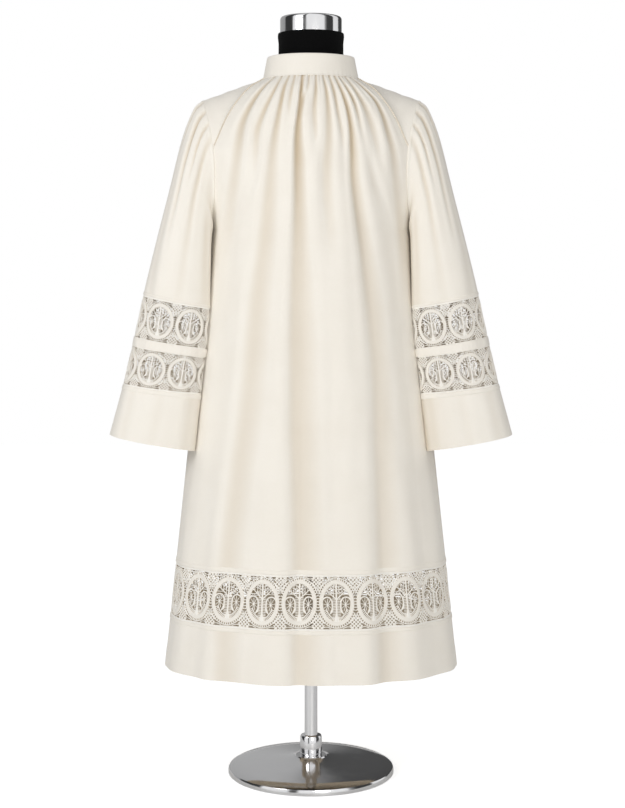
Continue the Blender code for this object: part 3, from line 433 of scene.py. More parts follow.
# Each crease: its x in metres, its depth and half-width in mm at heights of its own, and how
# much steeper its left bank is than its right one
CREASES = {
    BACK: (
        {"z": (1.327, 1.310),
         "x": (-0.0733, -0.0900),
         "depth": (0.6, 0.0),
         "width": (3.0, 4.0), "lean": 0},
        {"z": (1.327, 1.303, 1.271, 1.238, 1.197, 1.125, 1.062, 0.970),
         "x": (-0.0660, -0.0896, -0.1112, -0.1257, -0.1325, -0.1422, -0.1514, -0.1599),
         "depth": (0.8, 1.8, 2.4, 2.6, 2.4, 2.2, 1.6, 0.0),
         "width": (4.0, 5.0, 7.0, 9.0, 11.0, 13.0, 15.0, 16.0), "lean": 0},
        {"z": (1.327, 1.298, 1.260, 1.224, 1.187, 1.133),
         "x": (-0.0530, -0.0673, -0.0854, -0.0982, -0.1014, -0.1034),
         "depth": (0.9, 1.8, 2.2, 2.2, 1.6, 0.0),
         "width": (3.2, 4.0, 5.5, 7.0, 8.0, 9.0), "lean": 0},
        {"z": (1.327, 1.297),
         "x": (-0.0464, -0.0562),
         "depth": (0.6, 0.0),
         "width": (2.0, 2.6), "lean": 0},
        {"z": (1.327, 1.303, 1.278, 1.241, 1.196, 1.141, 1.052, 0.916, 0.733, 0.586, 0.455, 0.215),
         "x": (-0.0401, -0.0490, -0.0543, -0.0613, -0.0685, -0.0736, -0.0814, -0.0979, -0.1145, -0.1348,
               -0.1518, -0.1622),
         "depth": (1.0, 1.9, 2.4, 2.6, 2.4, 2.6, 3.2, 3.6, 4.0, 4.5, 5.0, 5.5),
         "width": (2.6, 3.4, 4.0, 5.5, 8.0, 11.0, 16.0, 20.0, 22.0, 22.0, 22.0, 24.0), "lean": 0.2},
        {"z": (1.327, 1.293, 1.269, 1.237),
         "x": (-0.0292, -0.0364, -0.0399, -0.0433),
         "depth": (1.0, 1.5, 1.2, 0.0),
         "width": (2.4, 3.6, 4.5, 5.0), "lean": 0},
        {"z": (1.327, 1.308),
         "x": (-0.0229, -0.0254),
         "depth": (0.6, 0.0),
         "width": (1.8, 2.0), "lean": 0},
        {"z": (1.327, 1.293, 1.254, 1.223, 1.169, 1.096, 1.006, 0.862, 0.698, 0.515, 0.215),
         "x": (-0.0162, -0.0189, -0.0223, -0.0252, -0.0256, -0.0248, -0.0265, -0.0287, -0.0267, -0.0214,
               -0.0203),
         "depth": (1.5, 3.0, 3.8, 4.6, 5.4, 5.2, 4.8, 5.0, 5.5, 6.0, 6.5),
         "width": (2.6, 3.0, 3.8, 5.5, 8.0, 9.0, 13.0, 19.0, 20.0, 21.0, 22.0), "lean": 0.45},
        {"z": (1.327, 1.304),
         "x": (-0.0099, -0.0106),
         "depth": (0.7, 0.0),
         "width": (1.8, 2.2), "lean": 0},
        {"z": (1.327, 1.306, 1.278, 1.245),
         "x": (-0.0036, -0.0053, -0.0126, -0.0161),
         "depth": (1.1, 1.6, 1.4, 0.0),
         "width": (2.4, 3.2, 4.5, 5.0), "lean": 0},
        {"z": (1.327, 1.304),
         "x": (0.0030, 0.0028),
         "depth": (0.7, 0.0),
         "width": (1.8, 2.2), "lean": 0},
        {"z": (1.327, 1.301, 1.263, 1.214, 1.178),
         "x": (0.0093, 0.0094, 0.0065, 0.0085, 0.0092),
         "depth": (1.0, 1.8, 1.7, 1.4, 0.0),
         "width": (2.2, 3.2, 5.0, 6.5, 7.0), "lean": 0},
        {"z": (1.327, 1.308, 1.287),
         "x": (0.0158, 0.0165, 0.0183),
         "depth": (0.7, 0.7, 0.0),
         "width": (1.8, 2.0, 2.2), "lean": 0},
        {"z": (1.327, 1.296, 1.260, 1.214, 1.159, 1.096, 1.024, 0.934),
         "x": (0.0220, 0.0284, 0.0319, 0.0327, 0.0292, 0.0292, 0.0329, 0.0361),
         "depth": (1.0, 1.9, 2.1, 2.2, 2.4, 2.2, 1.4, 0.0),
         "width": (2.2, 3.4, 5.5, 8.0, 10.0, 12.0, 14.0, 15.0), "lean": 0},
        {"z": (1.327, 1.304),
         "x": (0.0275, 0.0330),
         "depth": (0.6, 0.0),
         "width": (1.8, 2.2), "lean": 0},
        {"z": (1.327, 1.297, 1.256, 1.214, 1.178),
         "x": (0.0332, 0.0420, 0.0492, 0.0565, 0.0579),
         "depth": (1.1, 1.9, 2.0, 1.4, 0.0),
         "width": (2.2, 3.2, 4.0, 4.6, 5.0), "lean": 0},
        {"z": (1.327, 1.294, 1.264, 1.232, 1.187, 1.141, 1.079, 0.989, 0.880, 0.733, 0.548, 0.437, 0.215),
         "x": (0.0424, 0.0566, 0.0663, 0.0725, 0.0759, 0.0779, 0.0851, 0.0986, 0.1130, 0.1248, 0.1307,
               0.1347, 0.1378),
         "depth": (1.1, 2.2, 3.2, 4.0, 4.8, 4.8, 4.2, 3.8, 3.8, 4.2, 4.6, 5.0, 5.5),
         "width": (2.4, 3.4, 4.2, 5.0, 7.0, 8.0, 10.0, 13.0, 16.0, 18.0, 19.0, 20.0, 22.0), "lean": 0.35},
        {"z": (1.327, 1.305, 1.282, 1.257, 1.224, 1.187, 1.124, 1.043),
         "x": (0.0507, 0.0640, 0.0765, 0.0845, 0.0909, 0.0982, 0.1110, 0.1310),
         "depth": (0.9, 2.0, 2.8, 2.8, 2.2, 1.8, 1.6, 0.0),
         "width": (2.2, 3.2, 4.0, 4.6, 6.0, 8.0, 12.0, 14.0), "lean": 0},
        {"z": (1.327, 1.302),
         "x": (0.0572, 0.0696),
         "depth": (0.6, 0.0),
         "width": (2.0, 2.4), "lean": 0},
        {"z": (1.327, 1.298, 1.272, 1.239, 1.197, 1.152),
         "x": (0.0625, 0.0823, 0.0968, 0.1093, 0.1201, 0.1271),
         "depth": (0.8, 1.6, 1.8, 1.6, 1.2, 0.0),
         "width": (2.6, 4.0, 6.0, 8.0, 9.0, 10.0), "lean": 0},
        {"z": (1.327, 1.304, 1.285, 1.259, 1.225, 1.189, 1.116, 1.025, 0.915),
         "x": (0.0719, 0.0976, 0.1159, 0.1303, 0.1410, 0.1501, 0.1598, 0.1674, 0.1733),
         "depth": (0.8, 2.0, 2.8, 3.2, 3.0, 2.6, 2.4, 1.6, 0.0),
         "width": (2.6, 3.6, 4.4, 5.2, 7.0, 9.0, 12.0, 14.0, 15.0), "lean": 0},
    ),
    FRONT: (
        {"z": (1.327, 1.285, 1.240, 1.180, 1.070, 0.880),
         "x": (-0.0661, -0.1063, -0.1279, -0.1365, -0.1460, -0.1620),
         "depth": (1.0, 2.0, 2.6, 2.4, 1.8, 0.0),
         "width": (3.5, 5.5, 8.0, 11.0, 14.0, 16.0), "lean": 0},
        {"z": (1.327, 1.285, 1.240, 1.190, 1.100),
         "x": (-0.0523, -0.0817, -0.0988, -0.1079, -0.1120),
         "depth": (1.3, 1.9, 2.0, 1.6, 0.0),
         "width": (2.8, 4.0, 6.0, 8.0, 9.0), "lean": 0},
        {"z": (1.327, 1.290, 1.240, 1.180, 1.060, 0.900, 0.700, 0.500, 0.215),
         "x": (-0.0404, -0.0551, -0.0669, -0.0719, -0.0800, -0.0930, -0.1050, -0.1180, -0.1290),
         "depth": (1.4, 2.2, 2.6, 3.0, 3.4, 3.8, 4.0, 4.6, 5.2),
         "width": (2.6, 3.6, 5.0, 8.0, 14.0, 18.0, 20.0, 21.0, 22.0), "lean": 0.2},
        {"z": (1.327, 1.300, 1.270, 1.220),
         "x": (-0.0286, -0.0374, -0.0445, -0.0536),
         "depth": (1.3, 1.8, 1.4, 0.0),
         "width": (2.4, 3.4, 4.5, 5.0), "lean": 0},
        {"z": (1.327, 1.304),
         "x": (-0.0230, -0.0262),
         "depth": (0.7, 0.0),
         "width": (1.8, 2.2), "lean": 0},
        {"z": (1.327, 1.290, 1.240, 1.170, 1.080, 0.960),
         "x": (-0.0174, -0.0239, -0.0294, -0.0303, -0.0319, -0.0360),
         "depth": (1.5, 2.2, 2.4, 2.2, 1.4, 0.0),
         "width": (2.4, 3.4, 5.5, 8.0, 11.0, 13.0), "lean": 0},
        {"z": (1.327, 1.300, 1.260, 1.200),
         "x": (-0.0070, -0.0094, -0.0121, -0.0143),
         "depth": (1.0, 1.6, 1.3, 0.0),
         "width": (2.2, 3.2, 5.0, 7.0), "lean": 0},
        {"z": (1.327, 1.295, 1.240, 1.190),
         "x": (0.0082, 0.0119, 0.0156, 0.0163),
         "depth": (1.0, 1.6, 1.4, 0.0),
         "width": (2.2, 3.2, 5.0, 7.0), "lean": 0},
        {"z": (1.327, 1.290, 1.250, 1.200, 1.060, 0.900, 0.700, 0.500, 0.215),
         "x": (0.0185, 0.0257, 0.0303, 0.0325, 0.0268, 0.0180, 0.0110, 0.0070, 0.0060),
         "depth": (1.5, 2.8, 3.6, 4.4, 4.8, 4.8, 5.0, 5.4, 6.0),
         "width": (2.6, 3.2, 4.4, 7.0, 11.0, 15.0, 18.0, 20.0, 22.0), "lean": -0.4},
        {"z": (1.327, 1.306),
         "x": (0.0250, 0.0284),
         "depth": (0.7, 0.0),
         "width": (1.8, 2.2), "lean": 0},
        {"z": (1.327, 1.300, 1.262, 1.210),
         "x": (0.0297, 0.0385, 0.0472, 0.0560),
         "depth": (1.4, 1.8, 1.4, 0.0),
         "width": (2.4, 3.4, 4.5, 6.0), "lean": 0},
        {"z": (1.327, 1.290, 1.240, 1.180, 1.060, 0.900, 0.700, 0.500, 0.215),
         "x": (0.0404, 0.0565, 0.0686, 0.0739, 0.0830, 0.0970, 0.1080, 0.1200, 0.1370),
         "depth": (1.4, 2.2, 2.8, 3.4, 3.8, 3.8, 4.2, 4.8, 5.4),
         "width": (2.4, 3.6, 5.0, 8.0, 12.0, 16.0, 18.0, 20.0, 22.0), "lean": -0.2},
        {"z": (1.327, 1.290, 1.250, 1.190, 1.100),
         "x": (0.0514, 0.0757, 0.0913, 0.1025, 0.1100),
         "depth": (1.4, 2.0, 2.0, 1.4, 0.0),
         "width": (2.8, 4.0, 5.6, 8.0, 10.0), "lean": 0},
        {"z": (1.327, 1.288, 1.240, 1.180, 1.060, 0.850),
         "x": (0.0645, 0.1018, 0.1250, 0.1349, 0.1440, 0.1620),
         "depth": (1.2, 2.0, 2.6, 2.5, 2.0, 0.0),
         "width": (3.2, 5.0, 7.0, 10.0, 13.0, 15.0), "lean": 0},
        {"z": (1.327, 1.285, 1.250, 1.190),
         "x": (0.0770, 0.1232, 0.1450, 0.1619),
         "depth": (0.8, 1.4, 1.4, 0.0),
         "width": (3.2, 5.0, 7.0, 8.0), "lean": 0},
    ),
}
# How much deeper the creases run near the gathers, and the depth in mm that counts as full painted shade
CREASE_GROWTH = {
    "z": (0.215, 0.600, 0.900, 1.150, 1.250, 1.327),
    "depth": (0.75, 0.85, 0.95, 1.05, 1.45, 2.20),
    "full_shade": (15.0, 12.0, 9.5, 6.5, 4.8, 3.6),
}
# Slow waves between the creases: how many across, how fast they drift downwards, their height
RIPPLES = ((5.0, 2.1, 0.00045), (8.0, -3.4, 0.00035), (13.0, 4.7, 0.00022), (21.0, -6.1, 0.00012))


def creases(half, t, z):
    """Troughs with raised banks: a bell across each crease, less a share of a bell beside it."""
    width, depth, angle = section(half, z)
    lift = np.zeros(np.shape(t * z))
    for crease in CREASES[half]:
        heights = np.array(crease["z"])[::-1]
        middle = np.arcsin(np.clip(smooth(heights, crease["x"][::-1], z) / width, -1, 1))
        stretch = np.hypot(width * np.cos(middle), depth * np.sin(middle))
        half_width = np.interp(z, heights, crease["width"][::-1]) * 0.001
        across = (t * angle - middle) * stretch / half_width
        across = across * (1 - crease["lean"] * np.tanh(across * 1.5))
        banks = np.exp(-(((np.abs(across) - 1.9) / 0.9) ** 2))
        deep = np.interp(z, heights, crease["depth"][::-1]) * 0.001
        lift += deep * (0.38 * banks - np.exp(-(across**2)))
    return lift * np.interp(z, CREASE_GROWTH["z"], CREASE_GROWTH["depth"]) * (1 - np.abs(t) ** 10)


def crease_shade(half, t, z):
    """How deep each point lies in a crease, from 0 to 1: painted shade, which makes the cloth darker and
    warmer there.
    """
    full = np.interp(z, CREASE_GROWTH["z"], CREASE_GROWTH["full_shade"]) * 0.001
    return np.clip(-creases(half, t, z) / full, 0, 1)


def ripples(t, z):
    """Slow crossing waves in the cloth, as a sum of sines of place and height."""
    lift = np.zeros(np.shape(t * z))
    for across, down, height in RIPPLES:
        drift = down * z * 3 + 2 * np.sin(1.7 * z * down + t * 3)
        lift += height * np.sin(across * math.pi * t + drift)
    return lift * (1 - np.abs(t) ** 6)


def body_surface(half, t, z):
    """The front or back at places t from -1 to 1 and heights z, with its folds and creases."""
    plain, out = body_frame(half, t, z)
    lift = large_folds(half, t, z) + creases(half, t, z) + ripples(fold_place(half, t, z), z)
    return plain + out * lift[..., None]


def cloth_wall(
    name, points, material, closed=False, outwards=1, thickness=CLOTH_THICKNESS, shade=0.0, slit=None
):
    """A shell of cloth: the grid, the same grid moved in along its normals, and its rims.

    Its UV map is the running length across the columns and down the rows, in metres. The inner
    side gets at least INNER_SHADE of painted shade. A slit is a column, and how many rows are open after it.
    """
    rows, columns = points.shape[:2]
    inner = points - grid_normals(points, closed) * outwards * thickness
    count = rows * columns
    face = grid_quads(rows, columns, closed)
    if slit is not None:
        face = face[~((face[:, 0] % columns == slit[0]) & (face[:, 0] // columns < slit[1]))]
    start, end = face.ravel(), np.roll(face, -1, axis=1).ravel()
    open_edge = ~np.isin(start * count + end, end * count + start)
    a, b = start[open_edge], end[open_edge]
    rim = np.stack([b, a, a + count, b + count], axis=-1)
    faces = np.concatenate([face, face[:, ::-1] + count, rim])[:, ::outwards]
    across = np.linalg.norm(np.roll(points, -1, axis=1) - points, axis=-1).mean(axis=0)
    down = np.linalg.norm(np.diff(points, axis=0), axis=-1).mean(axis=1)
    u = np.concatenate([[0.0], np.cumsum(across)])
    v = -np.concatenate([[0.0], np.cumsum(down)])
    uv = np.stack(np.meshgrid(u[:columns], v), axis=-1).reshape(-1, 2)
    both = np.concatenate([points, inner]).reshape(-1, 3)
    wrap = u[columns] if closed else None
    shade = np.broadcast_to(shade, (rows, columns)).ravel()
    # Painted shade on the inner side
    shade = np.concatenate([shade, np.maximum(shade, INNER_SHADE)])
    return add_mesh(name, both, faces, material, np.tile(uv, (2, 1)), wrap, shade=shade)


def weave_group():
    """Plain weave: two sets of waves for warp and weft, with slubs and a slow cloudiness."""
    group = bpy.data.node_groups.new("plain_weave", "ShaderNodeTree")
    for name, kind in (
        ("Place", "NodeSocketVector"), ("Threads", "NodeSocketFloat"), ("Slub", "NodeSocketFloat"),
    ):
        group.interface.new_socket(name, in_out="INPUT", socket_type=kind)
    for name in ("Height", "Cloud"):
        group.interface.new_socket(name, in_out="OUTPUT", socket_type="NodeSocketFloat")
    nodes, links = group.nodes, group.links
    given, result = nodes.new("NodeGroupInput"), nodes.new("NodeGroupOutput")
    slub = add_node(nodes, "ShaderNodeTexNoise", Scale=240.0, Detail=2.0)
    links.new(given.outputs["Place"], slub.inputs["Vector"])
    cloud = add_node(nodes, "ShaderNodeTexNoise", Scale=14.0, Detail=5.0, Roughness=0.60)
    links.new(given.outputs["Place"], cloud.inputs["Vector"])
    crossing = add_node(nodes, "ShaderNodeMath", operation="MULTIPLY")
    for index, direction in enumerate(("X", "Y")):
        wave = add_node(nodes, "ShaderNodeTexWave", bands_direction=direction, Detail=0.0)
        links.new(given.outputs["Place"], wave.inputs["Vector"])
        links.new(given.outputs["Threads"], wave.inputs["Scale"])
        links.new(wave.outputs["Fac"], crossing.inputs[index])
    uneven = add_node(nodes, "ShaderNodeMath", operation="MULTIPLY_ADD")
    links.new(slub.outputs["Fac"], uneven.inputs[0])
    links.new(given.outputs["Slub"], uneven.inputs[1])
    links.new(crossing.outputs["Value"], uneven.inputs[2])
    links.new(uneven.outputs["Value"], result.inputs["Height"])
    mixed = add_node(nodes, "ShaderNodeMath", operation="MULTIPLY_ADD")
    mixed.inputs[1].default_value = 0.35
    links.new(slub.outputs["Fac"], mixed.inputs[0])
    links.new(cloud.outputs["Fac"], mixed.inputs[2])
    links.new(mixed.outputs["Value"], result.inputs["Cloud"])
    return group


weave = weave_group()


def cloth_finish(name, light, dark, threads, slub, strength, roughness, sheen):
    """Woven cloth: two near shades mixed by the weave's cloudiness, and its threads as bump. The shade
    attribute multiplies in a warm dark colour as painted shade.
    """
    material, nodes, links, shader = new_material(name, light, roughness)
    shader.inputs["Sheen Weight"].default_value = sheen
    shader.inputs["Sheen Roughness"].default_value = 0.45
    shader.inputs["Specular IOR Level"].default_value = 0.30
    uv = add_node(nodes, "ShaderNodeUVMap", uv_map="cloth")
    pattern = nodes.new("ShaderNodeGroup")
    pattern.node_tree = weave
    pattern.inputs["Threads"].default_value = threads
    pattern.inputs["Slub"].default_value = slub
    links.new(uv.outputs["UV"], pattern.inputs["Place"])
    mottle = nodes.new("ShaderNodeValToRGB")
    mottle.color_ramp.elements[0].position, mottle.color_ramp.elements[1].position = 0.45, 0.90
    mottle.color_ramp.elements[0].color = (*dark, 1.0)
    mottle.color_ramp.elements[1].color = (*light, 1.0)
    links.new(pattern.outputs["Cloud"], mottle.inputs["Fac"])
    # Painted shade: the shade attribute blends the colour towards a warm dark tone where creases, hollows and
    # the inner side would be in shade
    deep = add_node(nodes, "ShaderNodeAttribute", attribute_name="shade")
    painted_shade_ramp = nodes.new("ShaderNodeValToRGB")
    painted_shade_ramp.color_ramp.elements[0].color = (1.0, 1.0, 1.0, 1.0)
    painted_shade_ramp.color_ramp.elements[1].color = (0.68, 0.59, 0.465, 1.0)
    links.new(deep.outputs["Fac"], painted_shade_ramp.inputs["Fac"])
    painted_shade_mix = add_node(nodes, "ShaderNodeMix", data_type="RGBA", blend_type="MULTIPLY")
    painted_shade_mix.inputs[0].default_value = 1.0
    links.new(mottle.outputs["Color"], painted_shade_mix.inputs[6])
    links.new(painted_shade_ramp.outputs["Color"], painted_shade_mix.inputs[7])
    links.new(painted_shade_mix.outputs[2], shader.inputs["Base Color"])
    bump = add_node(nodes, "ShaderNodeBump", Strength=strength, Distance=0.0003)
    links.new(pattern.outputs["Height"], bump.inputs["Height"])
    links.new(bump.outputs["Normal"], shader.inputs["Normal"])
    return material


ivory = cloth_finish(
    "ivory_cloth_woven", (0.925, 0.885, 0.812), (0.900, 0.855, 0.777), 560.0, 0.6, 0.18, 0.52, 0.12
)


def on_root(piece, slot, *solids):
    """The piece rides on the one body and stands for its solids, which are hidden. The slot is not used."""
    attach(piece, "root")
    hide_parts(*solids)


def panel_heights(neck_rows, arm_rows, skirt_rows):
    """Heights down a panel: even along the piping, even round the armhole, even down the skirt."""
    arm = armhole_height(np.linspace(armhole_turn(PIPING_END), math.pi, arm_rows))
    return np.concatenate([
        np.linspace(NECK_SEAM, PIPING_END, neck_rows)[:-1], arm[:-1],
        np.linspace(UNDERARM, LACE_TOP, skirt_rows),
    ])


t, z = np.meshgrid(np.linspace(-1, 1, 193), panel_heights(56, 36, 76))
back = cloth_wall("gathered_back", body_surface(BACK, t, z), ivory, shade=crease_shade(BACK, t, z))
on_root(back, "ivory_cloth", "back_panel")

# The front is slit down from the collar, so that the head goes through
SLIT_WIDTH, SLIT_FOOT = 0.001, 1.128
heights = panel_heights(40, 26, 54)
half_t = np.linspace(0.0035, 1, 61)
t, z = np.meshgrid(np.concatenate([-half_t[::-1], half_t]), heights)
front = cloth_wall(
    "gathered_front", body_surface(FRONT, t, z), ivory, outwards=-1, shade=crease_shade(FRONT, t, z),
    slit=(60, int((heights > SLIT_FOOT).sum())),
)
on_root(front, "ivory_cloth", "front_panel")

# The shoulder yokes: a smooth piece of the same cloth on each shoulder, between the piped seams
# of back and front, with the armhole at its outer edge.
for side, name in ((LEFT, "left"), (RIGHT, "right")):
    t, s = np.meshgrid(np.linspace(-1, 1, 49), np.linspace(0, 1, 44))
    points = yoke_surface(side, s, t)
    wave = 0.0006 * np.sin(9 * t + 4 * s) * np.sin(math.pi * s) + 0.0004 * np.sin(23 * s + 5 * t)
    points = points - side * grid_normals(points) * (wave * (1 - t**4))[..., None]
    yoke = cloth_wall(f"shoulder_{name}", points, ivory, outwards=-side)
    on_root(yoke, "ivory_cloth", f"shoulder_yoke_{name}")

# The piping: a fine cord covered in the same cloth, sewn into each of the four seams between
# the panels and the yokes.
PIPING_RADIUS = 0.0012


def tube(path, radius, sides=10):
    """Points of a round tube along a path: rings of radius about it, in a frame that follows it."""
    along = unit(np.gradient(path, axis=0))
    level = unit(np.cross(along, [0.0, 0.0, 1.0]))
    up = np.cross(level, along)
    turn = np.arange(sides) * 2 * math.pi / sides
    ring = level[:, None] * np.cos(turn)[:, None] + up[:, None] * np.sin(turn)[:, None]
    radius = np.broadcast_to(radius, len(path))[:, None, None]
    return path[:, None] + ring * radius


def capped_tube(name, path, radius, material, sides=10):
    """A closed tube: its rings drawn to a point at both ends, with painted shade all over."""
    points = tube(path, radius, sides)
    ends = [np.repeat(path[k][None, None], sides, axis=1) for k in (0, -1)]
    points = np.concatenate([ends[0], points, ends[1]])
    length = np.concatenate([[0.0], np.cumsum(np.linalg.norm(np.diff(path, axis=0), axis=1))])
    v = np.concatenate([[0.0], length, length[-1:]])
    u = np.arange(sides) * 2 * math.pi * np.max(radius) / sides
    uv = np.stack(np.meshgrid(u, v), axis=-1).reshape(-1, 2)
    faces = grid_quads(len(points), sides, closed=True)
    # Painted shade over the whole cord, for the shadow lines beside the piping
    shade = np.full(len(uv), 0.5)
    wrap = 2 * math.pi * np.max(radius)
    piece = add_mesh(name, points.reshape(-1, 3), faces, material, uv, wrap, shade=shade)
    close_poles(piece)
    return piece


for side, name in ((LEFT, "left"), (RIGHT, "right")):
    for half, half_name in ((BACK, "back"), (FRONT, "front")):
        z = np.linspace(1.3262, 1.1985, 60)
        x, y = panel_edge(z)
        edge = np.stack([side * x, half * y, z], axis=-1)
        _, level = body_frame(half, np.full(len(z), float(side)), z)
        along = unit(np.gradient(edge, axis=0))
        out = unit(np.cross(along, np.cross(level, along)))
        path = edge + out * PIPING_RADIUS * 0.75
        cord = capped_tube(f"piping_cord_{half_name}_{name}", path, PIPING_RADIUS, ivory)
        on_root(cord, "ivory_cloth", f"piping_{half_name}_{name}")

# The stand collar: a folded band of cloth on the neck seam, over the gathers, whose ends meet
# at the front.
COLLAR_TOP, COLLAR_TOP_HALF_WIDTH, COLLAR_TOP_HALF_DEPTH = 1.367, 0.0815, 0.0750
COLLAR_PROFILE = (
    (-0.030, 0.0010), (-0.022, 0.0018), (0.0, 0.0019), (0.020, 0.0013), (0.060, 0.0009), (0.150, 0.0010),
    (0.300, 0.0009), (0.500, 0.0007), (0.700, 0.0005), (0.850, 0.0004), (0.930, 0.0004), (0.970, 0.0001),
    (0.992, -0.0005), (1.0, -0.0013), (0.992, -0.0021), (0.970, -0.0025), (0.700, -0.0026), (0.500, -0.0026),
    (0.300, -0.0026), (0.020, -0.0026), (0.0, -0.0022), (-0.012, -0.0008),
)


def band_loop(name, profile, material):
    """A profile of (height share, offset) swept round the neck's ellipse, from slit to slit.

    Each end is closed by quads between the profile's points, paired from its two ends.
    """
    slit = SLIT_WIDTH / 2 / NECK_HALF_WIDTH
    turn = np.linspace(slit, 2 * math.pi - slit, 241)[:, None]
    share, offset = np.array(profile).T
    width = NECK_HALF_WIDTH + (COLLAR_TOP_HALF_WIDTH - NECK_HALF_WIDTH) * share
    depth = NECK_HALF_DEPTH + (COLLAR_TOP_HALF_DEPTH - NECK_HALF_DEPTH) * share
    level = unit(np.stack([np.sin(turn) / width, np.cos(turn) / depth, 0 * turn * width], axis=-1))
    plain = np.stack([width * np.sin(turn), depth * np.cos(turn), 0 * turn * width], axis=-1)
    pucker = 0.00025 * np.sin(turn * 47 + 2 * np.sin(turn * 5)) * np.exp(-((share / 0.25) ** 2))
    soft = 0.0005 * np.sin(3 * turn + 1.0) * share + 0.0003 * np.sin(11 * turn) * (1 - share)
    points = plain + level * (offset + pucker + soft)[..., None]
    points[..., 2] = NECK_SEAM + (COLLAR_TOP - NECK_SEAM) * share + 0.0004 * np.sin(2 * turn + 0.5) * share
    rows, columns = points.shape[:2]
    near = np.arange(columns // 2 - 1)
    cap = np.stack([near + 1, near, columns - 1 - near, columns - 2 - near], axis=-1)
    caps = np.concatenate([cap, cap[:, ::-1] + (rows - 1) * columns])
    faces = np.concatenate([grid_quads(rows, columns, closed=True)[:, ::-1], caps])
    u = np.concatenate([[0.0], np.cumsum(np.linalg.norm(np.diff(points[:, 3], axis=0), axis=-1))])
    v = np.concatenate([[0.0], np.cumsum(np.linalg.norm(np.diff(points[0], axis=0), axis=-1))])
    uv = np.stack(np.meshgrid(u, v, indexing="ij"), axis=-1).reshape(-1, 2)
    return add_mesh(name, points.reshape(-1, 3), faces, material, uv)


band = band_loop("stand_collar", COLLAR_PROFILE, ivory)
on_root(band, "ivory_cloth", "collar")

# The sleeves: each a wide tube of the body's cloth, eased into its armhole with four soft
# gathers. Row 0 is the armhole, 8 the upper lace, 9 to 10 the strip and 12 the cuff's edge.
SLEEVE = {
    "outer_x": (0.2000, 0.2160, 0.2275, 0.2365, 0.2475, 0.2655, 0.2842, 0.3028, 0.3137,
                0.3327, 0.3352, 0.3540, 0.3800),
    "outer_z": (1.2880, 1.2770, 1.2550, 1.2325, 1.1955, 1.1205, 1.0455, 0.9700, 0.9255,
                0.8430, 0.8325, 0.7555, 0.6620),
    "inner_x": (0.1890, 0.1895, 0.1900, 0.1900, 0.1890, 0.1875, 0.1870, 0.1870, 0.1875,
                0.1930, 0.1950, 0.2015, 0.2130),
    "inner_z": (1.0440, 1.0390, 1.0330, 1.0260, 1.0115, 0.9745, 0.9425, 0.9150, 0.8990,
                0.8185, 0.8090, 0.7365, 0.6310),
    "half_depth": (0.0775, 0.0780, 0.0780, 0.0780, 0.0775, 0.0760, 0.0740, 0.0720, 0.0700,
                   0.0680, 0.0675, 0.0640, 0.0660),
    "middle_y": (0.0000, -0.0010, -0.0030, -0.0050, -0.0080, -0.0140, -0.0190, -0.0230, -0.0250,
                 -0.0270, -0.0275, -0.0290, -0.0310),
    "square": (2.00, 2.05, 2.10, 2.15, 2.20, 2.30, 2.40, 2.50, 2.50, 2.50, 2.50, 2.50, 2.40),
    "bow": (0.0180, 0.0150, 0.0120, 0.0090, 0.0050, 0.0020, 0.0, 0.0, 0.0, 0.0, 0.0, 0.0, 0.0),
}
SLEEVE_CLEARANCE = 0.0025
# Creases of a sleeve: places round it, from 0 at its outer line through the back, at rows of its own
SLEEVE_CREASES = (
    {"row": (0.0, 1.0, 2.0, 3.0, 4.5), "around": (0.040, 0.046, 0.052, 0.058, 0.062),
     "depth": (0.8, 2.0, 2.2, 1.6, 0.0), "half_width": 4.5},
    {"row": (0.0, 1.0, 2.0, 3.5, 5.0, 6.5), "around": (0.085, 0.095, 0.106, 0.125, 0.140, 0.150),
     "depth": (0.8, 2.2, 2.6, 2.4, 1.6, 0.0), "half_width": 6.0},
    {"row": (0.0, 1.0, 2.0, 3.0, 4.5), "around": (0.130, 0.145, 0.158, 0.172, 0.190),
     "depth": (0.8, 1.8, 2.0, 1.6, 0.0), "half_width": 5.0},
    {"row": (0.0, 1.5, 3.0, 5.0, 8.0, 12.0), "around": (0.175, 0.205, 0.230, 0.245, 0.250, 0.245),
     "depth": (0.5, 1.4, 1.8, 1.6, 1.2, 1.5), "half_width": 10.0},
    {"row": (3.0, 5.0, 8.0, 12.0), "around": (0.330, 0.345, 0.360, 0.370),
     "depth": (0.0, 1.2, 1.4, 2.0), "half_width": 9.0},
    {"row": (4.0, 6.0, 8.0, 12.0), "around": (0.100, 0.105, 0.120, 0.130),
     "depth": (0.0, 1.0, 1.2, 1.8), "half_width": 9.0},
    {"row": (0.0, 1.0, 2.5, 4.0), "around": (-0.045, -0.050, -0.060, -0.065),
     "depth": (0.8, 1.9, 1.8, 0.0), "half_width": 4.5},
    {"row": (0.0, 1.0, 2.5, 4.5, 6.0), "around": (-0.095, -0.108, -0.125, -0.140, -0.150),
     "depth": (0.8, 2.0, 2.4, 1.8, 0.0), "half_width": 6.0},
    {"row": (2.0, 4.0, 8.0, 12.0), "around": (-0.220, -0.235, -0.240, -0.230),
     "depth": (0.0, 1.4, 1.4, 1.8), "half_width": 10.0},
    {"row": (5.0, 8.0, 12.0), "around": (-0.360, -0.350, -0.340),
     "depth": (0.0, 1.2, 1.8), "half_width": 9.0},
)
SLEEVE_COLUMNS = 168


def clear_of_body(x, y, z, row):
    """The sleeve is pressed in where it would reach the body's side."""
    depth = np.where(
        y < 0, smooth(BODY_DEPTHS["z"], BODY_DEPTHS[BACK], z), smooth(BODY_DEPTHS["z"], BODY_DEPTHS[FRONT], z)
    )
    bulge = np.sqrt(np.maximum(1 - (y / depth) ** 2, 0))
    room = np.interp(z, (UNDERARM - 0.015, UNDERARM + 0.015), (SLEEVE_CLEARANCE, 0.0)) * min(row, 1.0)
    return np.maximum(x, side_half_width(z) * bulge + room)


